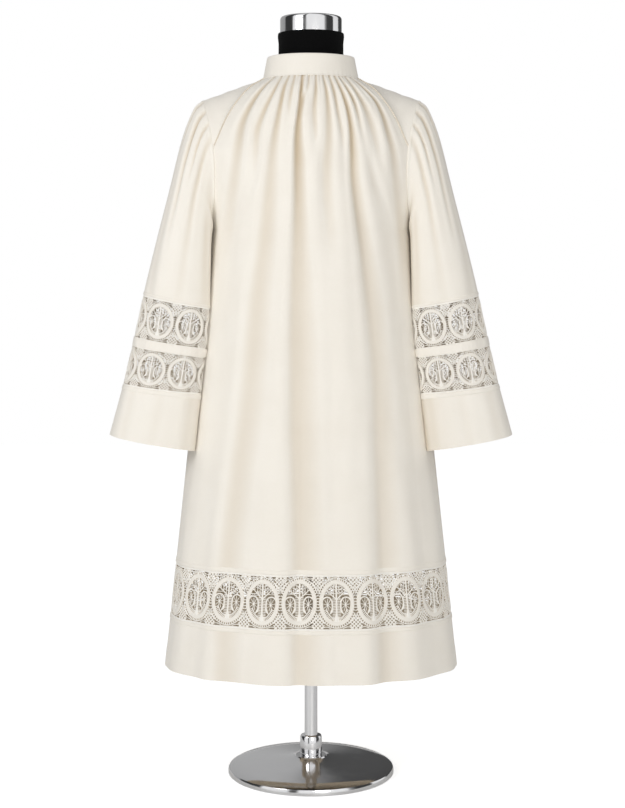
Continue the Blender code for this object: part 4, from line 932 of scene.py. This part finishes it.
def sleeve_ring(side, row, turn):
    """A section of the sleeve: a squared oval between its outer and inner ends, bowed inwards.

    Its two corners beside the body are drawn in, so that the sleeve lies against the body.
    """
    curve_through = smooth if row <= 8 else lambda rows, values, row: np.interp(row, rows, values)
    low = {column: float(curve_through(np.arange(13.0), SLEEVE[column], row)) for column in SLEEVE}
    outer = np.array([low["outer_x"], low["outer_z"]])
    inner = np.array([low["inner_x"], low["inner_z"]])
    middle, reach = (outer + inner) / 2, (outer - inner) / 2
    power = 2 / low["square"]
    lean = reach[1] / reach[0] * np.interp(row, (5.0, 7.0), (0.0, 1.0))
    c = np.sign(np.cos(turn)) * np.abs(np.cos(turn)) ** power
    s = np.sign(np.sin(turn)) * np.abs(np.sin(turn)) ** power
    x = middle[0] + reach[0] * c - low["bow"] * np.sin(turn) ** 2
    corner = np.exp(-(((np.abs(turn) - 2.3) / 0.45) ** 2))
    x -= 0.010 * corner * np.interp(row, (1.0, 3.0, 8.0, 12.0), (0.0, 1.0, 1.0, 0.6))
    y = low["middle_y"] - low["half_depth"] * s
    z = middle[1] + reach[1] * c
    clear = clear_of_body(x, y, z, row)
    return np.stack([side * clear, y, z + (clear - x) * lean], axis=-1)


def sleeve_grid(side, rows, columns, with_shade=False):
    """Sections of the sleeve at the rows, even along the back half and along the front half.

    With its painted shade: how deep each point lies in a crease, or in the hollow beside the body,
    which is painted much darker on the right sleeve than on the left.
    """
    grid = []
    for row in rows:
        halves = []
        for sweep in (np.linspace(0, math.pi, 361), np.linspace(-math.pi, 0, 361)):
            points = sleeve_ring(side, row, sweep)
            length = np.concatenate([[0.0], np.cumsum(np.linalg.norm(np.diff(points, axis=0), axis=1))])
            wanted = np.linspace(0, length[-1], columns // 2 + 1)[:-1]
            halves.append(np.stack([np.interp(wanted, length, points[:, k]) for k in range(3)], axis=-1))
        grid.append(np.concatenate(halves))
    grid = np.array(grid)
    around = np.arange(columns) / columns
    around = np.where(around > 0.5, around - 1, around)[None, :]
    rows = np.asarray(rows, float)[:, None]
    girth = np.linalg.norm(np.roll(grid, -1, axis=1) - grid, axis=-1).sum(axis=1)[:, None]
    lift = np.zeros((len(rows), columns))
    for crease in SLEEVE_CREASES:
        middle = smooth(crease["row"], crease["around"], rows)
        depth = np.interp(rows, crease["row"], crease["depth"]) * 0.001
        gap = (around - middle + 0.5) % 1.0 - 0.5
        across = gap * girth / (crease["half_width"] * 0.001)
        banks = np.exp(-(((np.abs(across) - 1.8) / 0.9) ** 2))
        lift += depth * (0.45 * banks - np.exp(-(across**2)))
    lift *= np.interp(rows, (0.0, 4.0, 8.0, 12.0), (1.6, 1.2, 0.7, 0.6))
    # Painted shade in the sleeve's creases
    shade = np.clip(-lift / (np.interp(rows, (0.0, 4.0, 8.0, 12.0), (4.0, 5.0, 12.0, 14.0)) * 0.001), 0, 1)
    turn = 2 * math.pi * around
    lift += 0.0004 * np.sin(5 * turn + rows * 0.9) + 0.0003 * np.sin(9 * turn - rows)
    head = np.exp(-(((rows - 0.22) / 0.18) ** 2)) * 0.0010
    settle = 1 - np.exp(-((rows / 0.12) ** 2))
    normals = grid_normals(grid, closed=True) * -side
    points = grid + normals * ((lift + head) * settle)[..., None]
    # Painted shade in the hollow beside the body, much stronger on the right sleeve, where the body's shadow
    # falls
    painted_hollow_shade = np.exp(-(((np.abs(around) - 0.5) / 0.11) ** 2)) * np.clip(rows - 0.5, 0, 1)
    painted_hollow_shade = painted_hollow_shade * (0.40 if side == LEFT else 0.90)
    return (points, np.clip(shade * settle + painted_hollow_shade, 0, 1)) if with_shade else points


for side, name in ((LEFT, "left"), (RIGHT, "right")):
    rows = np.concatenate([np.linspace(0, 1, 18)[:-1], np.linspace(1, 4, 32)[:-1], np.linspace(4, 8, 34)])
    points, shade = sleeve_grid(side, rows, SLEEVE_COLUMNS, with_shade=True)
    arm = cloth_wall(f"wide_sleeve_{name}", points, ivory, True, -side, shade=shade)
    on_root(arm, "ivory_cloth", f"sleeve_{name}")
    points = sleeve_grid(side, np.concatenate([[8.975], np.linspace(9.03, 9.97, 11), [10.025]]), 336)
    place = np.arange(336) * 2 * math.pi / 336
    across = np.linspace(0, math.pi, 13)[:, None]
    puckers = 0.0002 * np.sin(37 * place + 3 * np.sin(6 * place)) * np.sin(across) + 0.0009
    points = points - side * grid_normals(points, closed=True) * puckers[..., None]
    strip = cloth_wall(f"lace_strip_{name}", points, ivory, True, -side)
    on_root(strip, "ivory_cloth", f"sleeve_strip_{name}")
    points, shade = sleeve_grid(side, np.linspace(11, 12, 34), SLEEVE_COLUMNS, with_shade=True)
    cuff = cloth_wall(f"hemmed_cuff_{name}", points, ivory, True, -side, shade=shade)
    on_root(cuff, "ivory_cloth", f"cuff_{name}")

# The hem: a plain band of cloth under the body's lace, its lower edge turned up and stitched.
HEM_FOLD = 0.036


def body_tube(heights, columns, with_shade=False):
    """The whole body as a tube: the back from left to right, then the front back again.

    Its columns are even along the lace's middle line.
    """
    grid, shade = [], []
    for half, turn in ((BACK, 1), (FRONT, -1)):
        sweep = np.linspace(-1, 1, 601)
        plain, _ = body_frame(half, sweep, np.full(601, (LACE_TOP + LACE_BOTTOM) / 2))
        length = np.concatenate([[0.0], np.cumsum(np.linalg.norm(np.diff(plain, axis=0), axis=1))])
        t = np.interp(np.linspace(0, length[-1], columns // 2 + 1), length, sweep)[::turn][:-1]
        grid_t, grid_z = np.meshgrid(t, heights)
        grid.append(body_surface(half, grid_t, grid_z))
        shade.append(crease_shade(half, grid_t, grid_z))
    grid, shade = np.concatenate(grid, axis=1), np.concatenate(shade, axis=1)
    return (grid, shade) if with_shade else grid


rows = np.linspace(LACE_BOTTOM, HEM, 22)
points, shade = body_tube(rows, 480, with_shade=True)
turned_up = np.clip((HEM + HEM_FOLD - rows) / 0.002, 0, 1)[:, None, None]
points = points + grid_normals(points, closed=True) * 0.0006 * turned_up
hem = cloth_wall("hem_of_body", points, ivory, True, shade=shade)
on_root(hem, "ivory_cloth", "hem_band")

# The lace: bands of cotton guipure, embroidered in thick thread on a ground that is washed out
# afterwards. Oval medallions, each with a stem, two scrolls and fine bars, stand in a row
# between two headings, with a net between them.
LACE_HEIGHT, LACE_PITCH = 0.103, 0.0616
LACE_BASE = -0.0013
CORD = ((-1.0, 0.0), (-0.65, 0.75), (0.0, 1.0), (0.65, 0.75), (1.0, 0.0), (0.0, -0.35))
THREAD = ((-1.0, 0.0), (-0.6, 1.0), (0.6, 1.0), (1.0, 0.0))
RIBBED = (
    (-1.0, 0.1), (-0.88, 0.75), (-0.66, 1.0), (-0.44, 0.78), (-0.22, 0.95), (0.0, 0.74), (0.22, 0.95),
    (0.44, 0.78), (0.66, 1.0), (0.88, 0.75), (1.0, 0.1), (0.0, -0.2),
)


def stroke(path, half_width, height=0.0010, profile=CORD, closed=False, base=LACE_BASE):
    """A line of thread as (points, quads): a profile along a path.

    A point is flat x, y, height and painted shade, which grows from the crest down to the thread's foot.
    """
    path = np.array(path, float)
    along = np.roll(path, -1, axis=0) - np.roll(path, 1, axis=0) if closed else np.gradient(path, axis=0)
    level = unit(np.stack([along[:, 1], -along[:, 0]], axis=-1))
    across, up = np.array(profile).T
    half_width = np.broadcast_to(half_width, len(path))[:, None]
    flat = path[:, None] + level[:, None] * (half_width * across)[..., None]
    rise = np.broadcast_to(base + height * up, flat.shape[:2])
    # Painted shade: thread sides and feet darker and warmer, crests left bright
    shade = np.broadcast_to(1 - np.clip(1.6 * up, 0, 1), flat.shape[:2])
    points = np.concatenate([flat, rise[..., None], shade[..., None]], axis=-1)
    rows, columns = points.shape[:2]
    faces = [grid_quads(rows, columns, closed=True)]
    if closed:
        last = (rows - 1) * columns + np.arange(columns)
        first = np.arange(columns)
        faces.append(np.stack([last, first, np.roll(first, -1), np.roll(last, -1)], axis=-1))
    else:
        fan = np.arange(1, columns - 2, 2)
        cap = np.stack([0 * fan, fan, fan + 1, fan + 2], axis=-1)
        faces += [cap, cap[:, ::-1] + (rows - 1) * columns]
    return points.reshape(-1, 4), np.concatenate(faces)[:, ::-1]


def joined(strokes):
    """Several strokes as one set of points and quads."""
    starts = np.cumsum([0] + [len(points) for points, _ in strokes[:-1]])
    faces = [quads + start for (_, quads), start in zip(strokes, starts)]
    return np.concatenate([points for points, _ in strokes]), np.concatenate(faces)


def mirrored(strokes, axis):
    """The same strokes on the other side of an axis: 0 turns x round, 1 turns y round."""
    flip = np.ones(4)
    flip[axis] = -1
    return [(points * flip, quads[:, ::-1]) for points, quads in strokes]


def ellipse(half_width, half_height, start=0.0, end=360.0, count=56, middle=(0.0, 0.0)):
    """Points on an ellipse between two angles in degrees; a whole one doesn't repeat its start."""
    turn = np.radians(np.linspace(start, end, count, endpoint=end - start < 360))
    return np.stack([middle[0] + half_width * np.cos(turn), middle[1] + half_height * np.sin(turn)], axis=-1)


def line(*corners, count=6):
    """Points spaced evenly along a line with corners."""
    corners = np.array(corners, float)
    length = np.concatenate([[0.0], np.cumsum(np.linalg.norm(np.diff(corners, axis=0), axis=1))])
    wanted = np.linspace(0, length[-1], count)
    return np.stack([np.interp(wanted, length, corners[:, k]) for k in (0, 1)], axis=-1)


def curve(*corners, count=20):
    """Points on a smooth curve through the corners."""
    corners = np.array(corners, float)
    place = np.arange(len(corners), dtype=float)
    wanted = np.linspace(0, place[-1], count)
    return np.stack([smooth(place, corners[:, k], wanted) for k in (0, 1)], axis=-1)


def net(slope):
    """Parallel threads of the net, cut off where the medallions' cords and the heading stand."""
    threads = []
    for offset in np.arange(-0.0660, 0.0680, 0.0060):
        x = np.linspace(-LACE_PITCH / 2 + 0.001, LACE_PITCH / 2 - 0.001, 160)
        y = 0.038 + slope * (x - offset)
        inside = (y > 0.0200) & (y < 0.0474)
        for cord in (-LACE_PITCH / 2, LACE_PITCH / 2):
            inside &= ((x - cord) / 0.0318) ** 2 + (y / 0.0456) ** 2 > 0.98
        inside &= np.abs(x) < 0.0082 + (0.0474 - y) * 0.3
        if inside.sum() > 4:
            kept = np.flatnonzero(inside)
            ends = [(x[k], y[k]) for k in (kept[0], kept[-1])]
            threads.append(stroke(line(*ends, count=3), 0.0012, 0.0013, THREAD))
    return threads


def lace_motif():
    """One medallion with half of the net on each side of it, and its share of the headings."""
    turn = np.radians(np.linspace(0, 360, 64, endpoint=False))
    ring_width = 0.0034 + 0.0007 * np.sin(turn) ** 2
    ring = stroke(ellipse(0.0257, 0.0377, count=64), ring_width, 0.0017, RIBBED, closed=True)
    # The ring is tinted a little darker and warmer all over through its shade
    strokes = [(ring[0] + [0, 0, 0, 0.14], ring[1])]
    stem = np.linspace(0.0355, -0.0345, 12)
    strokes.append(stroke(np.stack([0 * stem, stem], axis=-1), 0.00165, 0.0016))
    strokes.append(stroke(line((0, -0.0200), (0, -0.0360)), np.linspace(0.0016, 0.0068, 6), 0.0013))
    right = []
    scroll = curve(
        (0.0228, 0.0055), (0.0205, 0.0088), (0.0160, 0.0106), (0.0112, 0.0090), (0.0080, 0.0045),
        (0.0071, -0.0010), (0.0070, -0.0100), (0.0082, -0.0155), (0.0122, -0.0212), count=26,
    )
    leaf = np.interp(np.linspace(0, 1, 26), (0, 0.72, 0.88, 1), (0.0015, 0.0014, 0.0025, 0.0003))
    right.append(stroke(scroll, leaf, 0.0015))
    branch = curve((0.0, 0.0060), (0.0105, 0.0170), (0.0175, 0.0245), count=9)
    right.append(stroke(branch, np.linspace(0.0013, 0.0009, 9), 0.0013))
    for start, end in (
        ((0.0092, 0.0150), (0.0215, 0.0150)), ((0.0045, 0.0325), (0.0045, 0.0115)),
        ((0.0092, 0.0300), (0.0092, 0.0160)), ((0.0138, 0.0265), (0.0138, 0.0205)),
        ((0.0012, 0.0232), (0.0125, 0.0272)), ((0.0012, 0.0165), (0.0098, 0.0203)),
        ((0.0012, 0.0290), (0.0092, 0.0310)), ((0.0150, 0.0225), (0.0205, 0.0205)),
    ):
        right.append(stroke(line(start, end, count=3), 0.00070, 0.0010, THREAD))
    hub = np.array([0.0148, -0.0035])
    bead = line(hub - (0.0015, 0), hub + (0.0015, 0), count=3)
    right.append(stroke(bead, (0.0006, 0.0017, 0.0006), 0.0012))
    for angle in np.radians(np.arange(9) * 40 + 10):
        tip = hub + np.array([0.0072 * math.cos(angle), 0.0118 * math.sin(angle)])
        right.append(stroke(line(hub, tip, count=3), 0.00065, 0.0010, THREAD))
    for y in np.arange(0.0085, -0.0275, -0.0029):
        reach = min(0.0068, 0.0178 * math.sqrt(1 - (y / 0.0285) ** 2))
        right.append(stroke(line((0.0012, y), (reach, y), count=2), 0.00085, 0.0010, THREAD))
    arc = ellipse(0.0178, 0.0285, -22, -80, 12)
    right.append(stroke(arc, 0.0008, 0.0010, THREAD))
    inner, outer = ellipse(0.0178, 0.0285, -24, -80, 10), ellipse(0.0226, 0.0342, -24, -80, 10)
    for near, far in zip(inner, outer):
        right.append(stroke(line(near, far, count=2), 0.00085, 0.0010, THREAD))
    upper = [
        stroke(ellipse(0.0318, 0.0456, 24, 156, 44), 0.0009, 0.0012),
        stroke(line((-LACE_PITCH / 2, 0.04925), (LACE_PITCH / 2, 0.04925), count=9), 0.00235, 0.0012, RIBBED),
    ]
    for side in (-1, 1):
        corners = (0.0095, 0.0462), (0.0150, 0.0434), (0.0215, 0.0430), (0.0240, 0.0475)
        wedge = line(*[(side * x, y) for x, y in corners])
        upper.append(stroke(wedge, 0.0009, 0.0010, THREAD))
        leaf = line((side * LACE_PITCH / 2, 0.0165), (side * LACE_PITCH / 2, 0.0310))
        upper.append(stroke(leaf, np.linspace(0.0004, 0.0024, 6), 0.0013))
    edge, outer = ellipse(0.0284, 0.0411, 3.4, 363.4, 52), ellipse(0.0319, 0.0456, 3.4, 363.4, 52)
    rungs = []
    for near, far in zip(edge, outer):
        reach = np.sign(far[0]) * min(abs(far[0]), LACE_PITCH / 2)
        rungs.append(stroke(line(near, (reach, far[1]), count=2), 0.0011, 0.0011, THREAD))
    spandrel = [(points + [LACE_PITCH / 2, 0, 0, 0], quads) for points, quads in net(1.15) + net(-1.15)]
    upper += spandrel
    return joined(strokes + right + mirrored(right, 0) + upper + mirrored(upper, 1) + rungs)


def lay_on(grid, u, v, lift):
    """Points over a closed grid: u goes once round it, v from its first row to its last."""
    rows, columns = grid.shape[:2]
    normals = grid_normals(grid, closed=True)
    column, row = (u % 1.0) * columns, np.clip(v, 0, 1) * (rows - 1)
    j, i = np.floor(column).astype(int) % columns, np.clip(np.floor(row).astype(int), 0, rows - 2)
    k = (j + 1) % columns
    a, b = (column - np.floor(column))[:, None], (row - i)[:, None]

    def between(field):
        upper = field[i, j] * (1 - a) + field[i, k] * a
        lower = field[i + 1, j] * (1 - a) + field[i + 1, k] * a
        return upper * (1 - b) + lower * b

    return between(grid) + unit(between(normals)) * lift[:, None]


def round_band(name, grid, motif, centres, width, height, material):
    """A motif laid on a closed grid at each centre, given as a share of the way round."""
    shape, quads = motif
    u = (np.asarray(centres)[:, None] + shape[:, 0] / width).ravel()
    v = np.tile(0.5 - shape[:, 1] / height, len(centres))
    points = lay_on(grid, u, v, np.tile(shape[:, 2], len(centres)))
    faces = (np.arange(len(centres))[:, None, None] * len(shape) + quads).reshape(-1, 4)
    flat = np.stack([np.tile(shape[:, 0], len(centres)), np.tile(shape[:, 1], len(centres))], axis=-1)
    flat[:, 0] += np.repeat(np.asarray(centres) * width, len(shape))
    return add_mesh(name, points, faces, material, flat, shade=np.tile(shape[:, 3], len(centres)))


lace_thread = cloth_finish(
    "guipure_thread", (0.965, 0.940, 0.885), (0.940, 0.910, 0.850), 430.0, 0.8, 0.35, 0.70, 0.10
)
motif = lace_motif()
BODY_MOTIFS, SLEEVE_MOTIFS = 20, 8
BODY_LACE_SHIFT = 0.013
body_lace_grid = body_tube(np.linspace(LACE_TOP - 0.0004, LACE_BOTTOM + 0.0004, 29), 480)
around = np.linalg.norm(np.diff(body_tube(np.array([0.3635]), 480)[0], axis=0), axis=1).sum()
centres = (np.arange(BODY_MOTIFS) + 0.5) / BODY_MOTIFS + BODY_LACE_SHIFT / around
body_lace = round_band(
    "lace_of_body", body_lace_grid, motif, centres, BODY_MOTIFS * LACE_PITCH, LACE_HEIGHT, lace_thread
)
on_root(body_lace, "ivory_lace", "body_lace_back", "body_lace_front")


def facing(side, grid):
    """The sleeve's grid with its columns running to the right as seen from outside."""
    return grid if side == LEFT else np.roll(grid[:, ::-1], 1, axis=1)


for side, name in ((LEFT, "left"), (RIGHT, "right")):
    for level, top in (("upper", 8.0), ("lower", 10.0)):
        grid = facing(side, sleeve_grid(side, np.linspace(top + 0.01, top + 0.99, 25), SLEEVE_COLUMNS))
        centres = (np.arange(SLEEVE_MOTIFS) + 0.5) / SLEEVE_MOTIFS
        label, width = f"lace_of_sleeve_{level}_{name}", SLEEVE_MOTIFS * LACE_PITCH
        band = round_band(label, grid, motif, centres, width, LACE_HEIGHT, lace_thread)
        on_root(band, "ivory_lace", f"sleeve_lace_{level}_{name}_back", f"sleeve_lace_{level}_{name}_front")

# The tapes and stitches: a narrow woven tape covers each seam between cloth and lace, sewn down
# along both of its edges. The hems are turned up and stitched with the same thread.
TAPE_PROFILE = (-0.0008, 0.0002, 0.0005, 0.0004, 0.0004, 0.0005, 0.0002, -0.0008)
STITCH_PITCH = 0.0029


def tape(name, grid, material):
    """A band lying just above a closed grid, with a low ridge along both of its edges."""
    lift = np.array(TAPE_PROFILE)[:, None, None]
    raised = grid + grid_normals(grid, closed=True) * (lift + 0.0003)
    piece = cloth_wall(name, raised, material, closed=True, thickness=0.0009)
    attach(piece, "root")
    return piece


def stitches(name, grid, rows, lift, material):
    """Short stitches round a closed grid at each of the rows, which are shares of its height."""
    middle = grid[len(grid) // 2]
    around = np.linalg.norm(np.roll(middle, -1, axis=0) - middle, axis=1).sum()
    count = int(around / STITCH_PITCH)
    path = line((-0.0009, 0.0), (0.0009, 0.0), count=3)
    stitch = stroke(path, (0.0002, 0.00032, 0.0002), 0.0005, THREAD, base=lift)
    parts = []
    for row in rows:
        u = ((np.arange(count) + 0.5) / count)[:, None] + stitch[0][:, 0] / around
        v = row + 0 * u
        points = lay_on(grid, u.ravel(), v.ravel(), np.tile(stitch[0][:, 2], count))
        faces = (np.arange(count)[:, None, None] * len(stitch[0]) + stitch[1]).reshape(-1, 4)
        parts.append((points, faces))
    points, faces = joined(parts)
    # The stitches are tinted a little darker and warmer through the shade attribute
    uv, shade = np.zeros((len(points), 2)), np.full(len(points), 0.15)
    piece = add_mesh(name, points, faces, material, uv, shade=shade)
    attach(piece, "root")
    return piece


trim = []
for name, top, foot in (
    ("above_lace", LACE_TOP + 0.0080, LACE_TOP - 0.0018),
    ("below_lace", LACE_BOTTOM + 0.0018, LACE_BOTTOM - 0.0072),
):
    grid = body_tube(np.linspace(top, foot, len(TAPE_PROFILE)), 480)
    trim.append(tape(f"tape_{name}", grid, ivory))
    trim.append(stitches(f"stitches_{name}", grid, (0.2, 0.8), 0.0009, ivory))
grid = body_tube(np.linspace(HEM + HEM_FOLD + 0.002, HEM + HEM_FOLD - 0.002, 5), 480)
stitches("stitches_hem", grid, (0.5,), -0.0002, ivory)
for side, name in ((LEFT, "left"), (RIGHT, "right")):
    for level, start, end, hangs_from in (
        ("upper", 7.915, 8.020, "wide_sleeve"), ("lower", 10.980, 11.085, "lace_strip"),
    ):
        grid = facing(side, sleeve_grid(side, np.linspace(start, end, len(TAPE_PROFILE)), SLEEVE_COLUMNS))
        label = f"{level}_lace_{name}"
        band = tape(f"tape_{label}", grid, ivory)
        trim = [band, stitches(f"stitches_{label}", grid, (0.2, 0.8), 0.0009, ivory)]
    grid = facing(side, sleeve_grid(side, np.linspace(11.60, 11.66, 5), SLEEVE_COLUMNS))
    stitches(f"stitches_cuff_{name}", grid, (0.5,), -0.0002, ivory)

# The studio: an almost white floor and a pale surround, with a soft neutral light on the camera's
# left and a slightly warm one on its right. The camera stands behind the garment.
# Round the room from its +X side, anticlockwise from above as a share: how bright each band ends
STUDIO_BANDS = (
    (0.000, 0.04), (0.045, 0.04), (0.058, 0.95), (0.162, 0.90), (0.170, 0.10), (0.195, 0.10), (0.204, 0.95),
    (0.390, 0.95), (0.402, 0.35), (0.424, 0.05), (0.500, 0.05), (0.510, 0.90), (0.585, 0.85), (0.598, 0.05),
    (0.740, 0.08), (0.760, 0.45), (0.930, 0.35), (0.945, 0.04),
)


def studio_world():
    """Even pale light, white to the camera, with darker upright bands that only chrome mirrors."""
    world = bpy.data.worlds.new("studio")
    bpy.context.scene.world = world
    world.use_nodes = True
    nodes, links = world.node_tree.nodes, world.node_tree.links
    background = nodes["Background"]
    background.inputs["Color"].default_value = (1.0, 1.0, 1.0, 1.0)
    path = nodes.new("ShaderNodeLightPath")
    glow = add_node(nodes, "ShaderNodeMapRange", To_Min=0.50, To_Max=1.0)
    links.new(path.outputs["Is Camera Ray"], glow.inputs["Value"])
    place = nodes.new("ShaderNodeTexCoord")
    around = add_node(nodes, "ShaderNodeTexGradient", gradient_type="RADIAL")
    links.new(place.outputs["Generated"], around.inputs["Vector"])
    bands = nodes.new("ShaderNodeValToRGB")
    bands.color_ramp.elements.remove(bands.color_ramp.elements[1])
    bands.color_ramp.elements[0].color = (*[STUDIO_BANDS[0][1]] * 3, 1.0)
    for position, value in STUDIO_BANDS[1:]:
        bands.color_ramp.elements.new(position).color = (value, value, value, 1.0)
    links.new(around.outputs["Fac"], bands.inputs["Fac"])
    mirrored_light = add_node(nodes, "ShaderNodeMix", data_type="FLOAT")
    links.new(path.outputs["Is Glossy Ray"], mirrored_light.inputs[0])
    links.new(glow.outputs["Result"], mirrored_light.inputs[2])
    links.new(bands.outputs["Color"], mirrored_light.inputs[3])
    links.new(mirrored_light.outputs[0], background.inputs["Strength"])


studio_world()
floor_material, nodes, links, floor_shader = new_material("studio_floor", (0.94, 0.94, 0.935), 0.60)
floor_shader.inputs["Emission Color"].default_value = (1.0, 1.0, 1.0, 1.0)
seen = nodes.new("ShaderNodeLightPath")
glow = add_node(nodes, "ShaderNodeMapRange", To_Min=0.0, To_Max=0.60)
links.new(seen.outputs["Is Camera Ray"], glow.inputs["Value"])
links.new(glow.outputs["Result"], floor_shader.inputs["Emission Strength"])
mesh = bpy.data.meshes.new("studio_floor")
mesh.from_pydata([(-6, -6, 0), (6, -6, 0), (6, 6, 0), (-6, 6, 0)], [], [(0, 1, 2, 3)])
mesh.materials.append(floor_material)
floor = bpy.data.objects.new("studio_floor", mesh)
bpy.context.scene.collection.objects.link(floor)


def area_light(name, place, aim, size, power, colour=(1.0, 1.0, 1.0)):
    """A square soft light at a place, turned to its aim."""
    lamp = bpy.data.lights.new(name, "AREA")
    lamp.size, lamp.energy, lamp.color = size, power, colour
    light = bpy.data.objects.new(name, lamp)
    light.location = place
    toward = np.array(aim) - np.array(place)
    yaw = math.atan2(toward[1], toward[0]) - math.pi / 2
    pitch = math.atan2(math.hypot(toward[0], toward[1]), -toward[2])
    light.rotation_euler = (pitch, 0.0, yaw)
    bpy.context.scene.collection.objects.link(light)
    return light


area_light("key_light", (-1.9, -1.9, 1.9), (0.0, 0.0, 0.80), 1.0, 22.0)
area_light("fill_light", (1.0, -3.6, 1.2), (0.0, 0.0, 0.80), 1.2, 30.0, (1.0, 0.975, 0.93))

camera = bpy.data.objects.new("camera", bpy.data.cameras.new("camera"))
camera.data.lens, camera.data.sensor_width = 75.0, 36.0
camera.data.sensor_fit = "VERTICAL"
camera.data.sensor_height = 36.0
camera.location = (0.0029, -3.2, 0.974)
camera.rotation_euler = (math.radians(85.38), 0.0, 0.0)
bpy.context.scene.collection.objects.link(camera)
bpy.context.scene.camera = camera
bpy.context.scene.view_settings.view_transform = "Standard"
